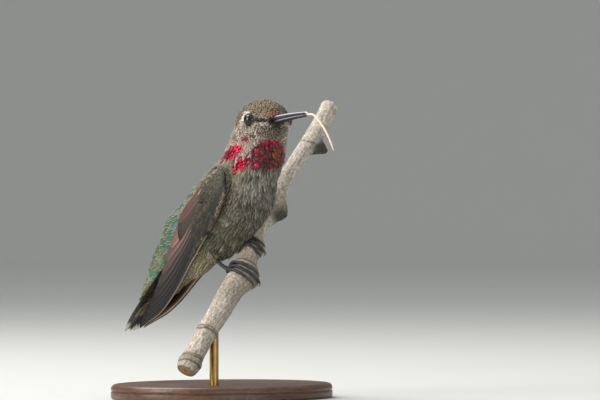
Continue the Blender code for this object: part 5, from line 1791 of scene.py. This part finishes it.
BARK_ROWS, BARK_ROUND = 420, 112
bark_along = np.linspace(-29.5, 54.0, BARK_ROWS)[:, None]
bark_angle = (np.arange(BARK_ROUND) * 360 / BARK_ROUND)[None]
wide_noise = noise_over(bark_along, bark_angle, 9.0, 60.0, 1)
middle_noise = noise_over(bark_along, bark_angle, 2.2, 16.0, 2, 22)
fine_noise = noise_over(bark_along, bark_angle, 0.9, 7.0, 3, 30)
furrows = np.clip(np.sin(np.radians(bark_angle) * 9 + 2.5 * wide_noise + bark_along * 0.06), -1, 1)
specks = ease(0.45, 0.75, noise_over(bark_along, bark_angle, 1.1, 9.0, 4, 26))
SCARS = [(-27.9, 0.22), (-26.2, 0.25), (-25.6, 0.16), (-18.0, 0.20), (-17.2, 0.16)]
SCARS += [(2.2, 0.20), (3.4, 0.22), (7.6, 0.2), (41.2, 0.2)]
warped = bark_along + 0.35 * np.sin(np.radians(bark_angle) + 1.0) + 0.12 * wide_noise
scars = np.max([scar(warped, place, half) for place, half in SCARS], axis=0)
lift = 0.035 * middle_noise + 0.03 * fine_noise - 0.03 * (furrows > 0.2) * furrows + 0.05 * specks - 0.10 * scars
facing = [np.exp(-(((bark_angle - a + 180) % 360 - 180) / w) ** 2) for a, w in ((218, 60), (225, 55), (226, 40))]
lumps = ((0.2, 3.2), (21.4, 3.0), (42.0, 1.7))
lump_top = sum(scar(bark_along, place, half) * face for (place, half), face in zip(lumps, facing))
lift = lift + 0.16 * lump_top * fine_noise - 0.10 * ease(0.2, 0.8, lump_top) * ease(0.3, 0.9, -middle_noise)
ends_fade = ease(-29.5, -28.9, bark_along) * ease(54.0, 53.4, bark_along)
lift = np.minimum(lift, 0.13) * ends_fade - 0.22 * (1 - ends_fade)
olive = scar(bark_along, -26.8, 1.1) + 0.9 * scar(bark_along, -17.6, 0.6)
olive = olive + 0.8 * scar(bark_along, 9.3, 1.6) + 0.5 * scar(bark_along, 2.8, 0.7)
BARK_TONES = [  # colour, and how much of it where
    ((208, 197, 184), 0.75 * ease(-0.1, 0.7, wide_noise)),
    # painted shade: darker where the bark lies low
    ((138, 127, 114), 0.45 * ease(0.2, 0.9, -middle_noise)),
    ((206, 198, 188), 0.5 * specks),
    ((112, 103, 94), 0.3 * ease(0.3, 1.0, fine_noise)),
    ((118, 108, 62), 0.65 * olive * ease(-0.8, 0.4, middle_noise)),
    ((126, 116, 100), 0.4 * scar(bark_along, -6.0, 3.5)),
    ((212, 202, 190), 0.45 * ease(24, 34, bark_along)),
    ((70, 68, 50), 0.85 * scar(bark_along, 0.2, 2.8) * facing[0]),
    ((120, 106, 88), 0.8 * scar(bark_along, 22.4, 2.0) * facing[1]),
    ((56, 56, 42), np.minimum(0.95, 1.5 * scar(bark_along, 19.8, 2.0) * facing[1])),
    ((46, 48, 40), np.minimum(0.95, 2.2 * scar(bark_along, 41.6, 1.9) * facing[2])),
    ((150, 128, 108), 0.5 * scar(bark_along, 5.2, 1.7)),
    ((52, 46, 40), 0.85 * scars),
    # painted shade in the furrows
    ((84, 77, 69), 0.4 * ease(0.55, 1.0, furrows) * ease(0.0, 0.6, fine_noise + 0.3)),
]
tone = srgb(184, 172, 157)
for colour, amount in BARK_TONES:
    tone = toward(tone, srgb(*colour), amount)

bark_points = branch_place(bark_along, bark_angle, lift)
cap_points, cap_tones, cap_faces = [], [], []
CAP_RINGS = 11
first = BARK_ROWS * BARK_ROUND
for end, ring in ((0, bark_points[0]), (1, bark_points[-1])):
    middle = ring.mean(0)
    start = len(cap_points) + first
    for step in range(1, CAP_RINGS + 1):
        share = step / (CAP_RINGS + 1)
        ringed = 0.5 + 0.5 * math.sin(share * 26)
        out = BRANCH_WAY * (0.03 * ringed - 0.02) * (1 if end else -1)
        cap_points += list(ring + (middle - ring) * share + out)
        wood = toward(srgb(188, 160, 122), srgb(148, 116, 82), np.array(0.6 * ringed))
        cap_tones += [srgb(88, 74, 58) if step < 2 else srgb(96, 78, 60) if step == CAP_RINGS else wood] * BARK_ROUND
    row = (BARK_ROWS - 1) * BARK_ROUND if end else 0
    for k in range(BARK_ROUND):
        b = (k + 1) % BARK_ROUND
        cap_faces.append([row + k, row + b, start + b, start + k])
    cap_faces += grid_faces(CAP_RINGS, BARK_ROUND, closed=True, first=start)
    cap_points.append(middle)
    cap_tones.append(srgb(90, 72, 54))
    pith = start + CAP_RINGS * BARK_ROUND
    last = pith - BARK_ROUND
    cap_faces += [[last + k, last + (k + 1) % BARK_ROUND, pith] for k in range(BARK_ROUND)]


def bark_finish():
    """The bark's own tones, darker in its grain and with small pale lenticels."""
    made = _, tree, _ = new_finish("bark_and_wood", 0.85, Specular_IOR_Level=0.25)
    grain = texture_of(tree, Scale=1500.0, Detail=6.0)
    cells = texture_of(tree, kind="Voronoi", output="Distance", Scale=1100.0)
    own = attribute_of(tree, "tint", "Color")
    colour = mixed(tree, step_of(tree, grain, 0.40, 0.62), mixed(tree, 0.4, own, srgb(78, 70, 62)), own)
    pale = sum_of(tree, "SUBTRACT", 1.0, step_of(tree, cells, 0.12, 0.3))
    colour = mixed(tree, sum_of(tree, "MULTIPLY", pale, 0.16), colour, srgb(206, 198, 192))
    return finished(made, colour, grain, 0.6, 0.00012)


BARK_FINISH = bark_finish()
points = np.concatenate([bark_points.reshape(-1, 3), np.array(cap_points)])
tones = np.concatenate([tone.reshape(-1, 3), np.array(cap_tones)])
faces = grid_faces(BARK_ROWS, BARK_ROUND, closed=True) + cap_faces
branch = object_of(mesh_of("branch_bark", points, faces, tint=rgba(tones)), BARK_FINISH)
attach(branch, "root")
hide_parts("perch_branch")
print("bark:", len(faces), "faces")


# %% [markdown]
# ## Legs
# A hummingbird's legs are very short. A thin shank comes out of the belly's feathers, and three toes reach over the
# branch while the hind toe goes under it. The skin is dark and has small scutes, one behind the other, and pads
# below each joint. The claws are sharp, curved and black.

# %% Shanks, toes and claws
TOE_RADIUS, FIT = 0.42, 0.15
ANKLE_ANGLE = 14.0  # where round the branch the ankle stands
TOES = {  # along the branch from the ankle: start and end; round it, in degrees: where toe and claw end
    "inner": (0.9, 0.6, 150, 205), "middle": (0.0, -0.9, 178, 232), "outer": (-0.9, -2.3, 160, 214),
    "hind": (-0.2, -1.2, -48, -88),
}


def toe_path(foot, toe, low, high, count):
    start, end, toe_end, _ = TOES[toe]
    angle = np.linspace(low, high, count)
    share = (angle - ANKLE_ANGLE) / (toe_end - ANKLE_ANGLE)
    knuckle = 0.10 * np.sin(3 * math.pi * share) ** 2
    return branch_place(FEET[foot] + start + (end - start) * share, angle, TOE_RADIUS + FIT + knuckle)


def scaly_tube(path, radii, scutes, pads=0, up=(0, 0, 1)):
    """A tube whose upper side has scutes, and whose lower side has pads. Gives a tone for each point too."""
    length = np.concatenate([[0], np.cumsum(np.linalg.norm(np.diff(path, axis=0), axis=-1))])[:, None]
    height = np.sin(2 * math.pi * np.arange(20) / 20)
    phase = (length / scutes) % 1
    step = (0.05 * (1 - phase) - 0.07 * (phase > 0.86)) * np.clip(height + 0.4, 0, 1)
    pad = 0.16 * np.abs(np.sin(math.pi * pads * length / length[-1])) * np.clip(-height, 0, 1) ** 2
    points, faces = tube_along(path, radii[:, None] * (1 + step + pad), 0.6 * radii[0], 0.6 * radii[-1], up, 0.92)
    tone = 0.5 + 0.5 * phase * (height > -0.2)
    return points, faces, np.concatenate([tone.ravel(), [0.5, 0.5]])


def foot_finish():
    """Dark skin, a little lighter towards the edge of each scute."""
    made = _, tree, _ = new_finish("foot_skin", 0.55, Specular_IOR_Level=0.45)
    noise = texture_of(tree, Scale=1700.0)
    colour = mixed(tree, attribute_of(tree, "scute"), srgb(16, 16, 18), srgb(50, 50, 54))
    colour = mixed(tree, sum_of(tree, "MULTIPLY", noise, 0.5), colour, srgb(28, 27, 28))
    return finished(made, colour, noise, 0.35, 0.00005)


def off_branch(place):
    """The way straight off the branch's middle line at one place."""
    return unit(place - branch_middle((place - BRANCH_FOOT) @ BRANCH_WAY))


FOOT_FINISH = foot_finish()
CLAW_FINISH = plain_finish("claw_horn", (34, 32, 34), 0.32, 1500.0, bump=0.1, second=(58, 54, 54), Coat_Weight=0.3)
for word in FEET:
    ankle = branch_place(FEET[word], ANKLE_ANGLE, 0.95)
    hip = BODY + np.array(LEG_TOPS[word])
    knee = ankle + (hip - ankle) * 0.45 + np.array((-0.5, 0, -0.25))
    along = np.linspace(0, 1, 40)
    path = curve([ankle, knee, hip], along)
    radii = 0.50 + 0.09 * np.exp(-((along / 0.14) ** 2)) + 0.05 * ease(0.6, 1, along)
    parts = [scaly_tube(path, radii, scutes=0.55)]
    for toe, (_, claw_along, toe_end, claw_end) in TOES.items():
        way = 1 if toe_end > ANKLE_ANGLE else -1
        raw = np.vstack([ankle[None], toe_path(word, toe, ANKLE_ANGLE + way * 16, toe_end + way * 4, 15)])
        along = np.linspace(0, 1, 60)
        path = curve(raw, along)
        radii = 1.02 - 0.2 * along + 0.07 * np.cos(along * 3 * 2 * math.pi)
        radii = TOE_RADIUS * radii * (1 - 0.3 * ease(0.94, 1.0, along))
        outward = tuple(off_branch(path[10]))
        parts.append(scaly_tube(path, radii, scutes=0.42, pads=3, up=outward))
        claw = toe_path(word, toe, toe_end + way * 2, claw_end, 26)
        t = np.linspace(0, 1, 26)
        hook = branch_place(np.array(FEET[word] + claw_along), np.array(float(claw_end)), 0.0) - claw[-1]
        arch = off_branch(claw[0]) * (0.10 * np.sin(math.pi * t))[:, None]
        claw = claw + hook * (0.42 * t[:, None] ** 2) + arch
        radii = 0.31 * (1 - t**1.4) + 0.035
        points, faces = tube_along(claw, np.outer(radii, np.ones(12)), 0.6 * radii[0], 1.5 * radii[-1], outward)
        nail = object_of(mesh_of(f"nail_{word}_{toe}", points, faces), CLAW_FINISH)
        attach(nail, "root")
        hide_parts(f"claw_{word}_{toe}")
    points, faces, tone_of = [], [], []
    for p, f, s in parts:
        first = sum(len(x) for x in points)
        faces += [[first + v for v in face] for face in f]
        points.append(p)
        tone_of.append(s)
    leg_mesh = mesh_of(f"foot_{word}", np.concatenate(points), faces, scute=np.concatenate(tone_of))
    leg = object_of(leg_mesh, FOOT_FINISH)
    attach(leg, "root")
    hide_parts(f"leg_{word}")


# %% [markdown]
# ## The stand
# The branch stands on one thin metal rod in an oval of dark turned wood, with a rounded edge and a fine bead.

# %% Base and rod
STAND_SIDES = 128


def stand_ring(inset, height):
    turn = np.linspace(0, 2 * math.pi, STAND_SIDES + 1)[:-1]
    return np.stack([(25 + inset) * np.cos(turn), (30 + inset) * np.sin(turn), np.full(STAND_SIDES, height)], -1)


edge = [  # inset and height, from the floor to the middle of the top
    (-0.9, 0.0), (-0.35, 0.08), (-0.05, 0.35), (0.0, 0.7), (0.0, 1.55), (-0.03, 1.7), (-0.30, 1.82), (-0.30, 2.0),
    (-0.05, 2.12), (-0.02, 2.4), (-0.06, 2.75), (-0.22, 3.1), (-0.5, 3.38), (-0.9, 3.54), (-1.5, 3.6), (-6.0, 3.6),
    (-13.0, 3.6), (-20.0, 3.6),
]
points, faces = tube_of([stand_ring(*row) for row in edge], (0, 0, 0), (0, 0, 3.6))


def wood_finish():
    """Long rings of grain, stretched along the oval, with fine pores."""
    made = _, tree, _ = new_finish("stand_wood", 0.42, Coat_Weight=0.15, Coat_Roughness=0.3)
    place = {"Vector": node_of(tree, "ShaderNodeTexCoord", {}, "Object"), "Scale": (1.0, 0.16, 1.0)}
    place = node_of(tree, "ShaderNodeMapping", place)
    grain = texture_of(tree, place, Scale=260.0, Detail=4.0, Distortion=1.2)
    pores = texture_of(tree, place, Scale=2600.0, Detail=2.0)
    bands = sum_of(tree, "SINE", sum_of(tree, "MULTIPLY", grain, 34.0))
    colour = mixed(tree, sum_of(tree, "MULTIPLY_ADD", bands, 0.5, 0.5), srgb(74, 48, 34), srgb(98, 66, 46))
    colour = mixed(tree, step_of(tree, pores, 0.62, 0.7), colour, srgb(48, 30, 22))
    return finished(made, colour, pores, 0.15, 0.00005)


base = object_of(mesh_of("stand_oval", points, faces), wood_finish())
base.data.set_sharp_from_angle(angle=math.radians(50))
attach(base, "root")
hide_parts("stand_base")

socket = branch_middle(np.array(-14.0))
foot = np.array((socket[0], socket[1], 1.4))
path = np.linspace(foot, socket, 14)
points, faces = tube_along(path, np.full((14, 40), 1.1), 0, 0, up=(1, 0, 0))
ROD_FINISH = plain_finish("rod_brass", (176, 142, 84), 0.28, 400.0, shade=0.12, bump=0.05, Metallic=1.0)
rod = object_of(mesh_of("stand_rod_metal", points, faces), ROD_FINISH)
rod.data.set_sharp_from_angle(angle=math.radians(50))
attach(rod, "root")
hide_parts("stand_rod")


# %% [markdown]
# ## Clearing up
# The pattern feathers have done their work and go.

# %% Finish
for collection in (SCALES, WISPS):
    for obj in list(collection.objects):
        bpy.data.objects.remove(obj)
    bpy.data.collections.remove(collection)
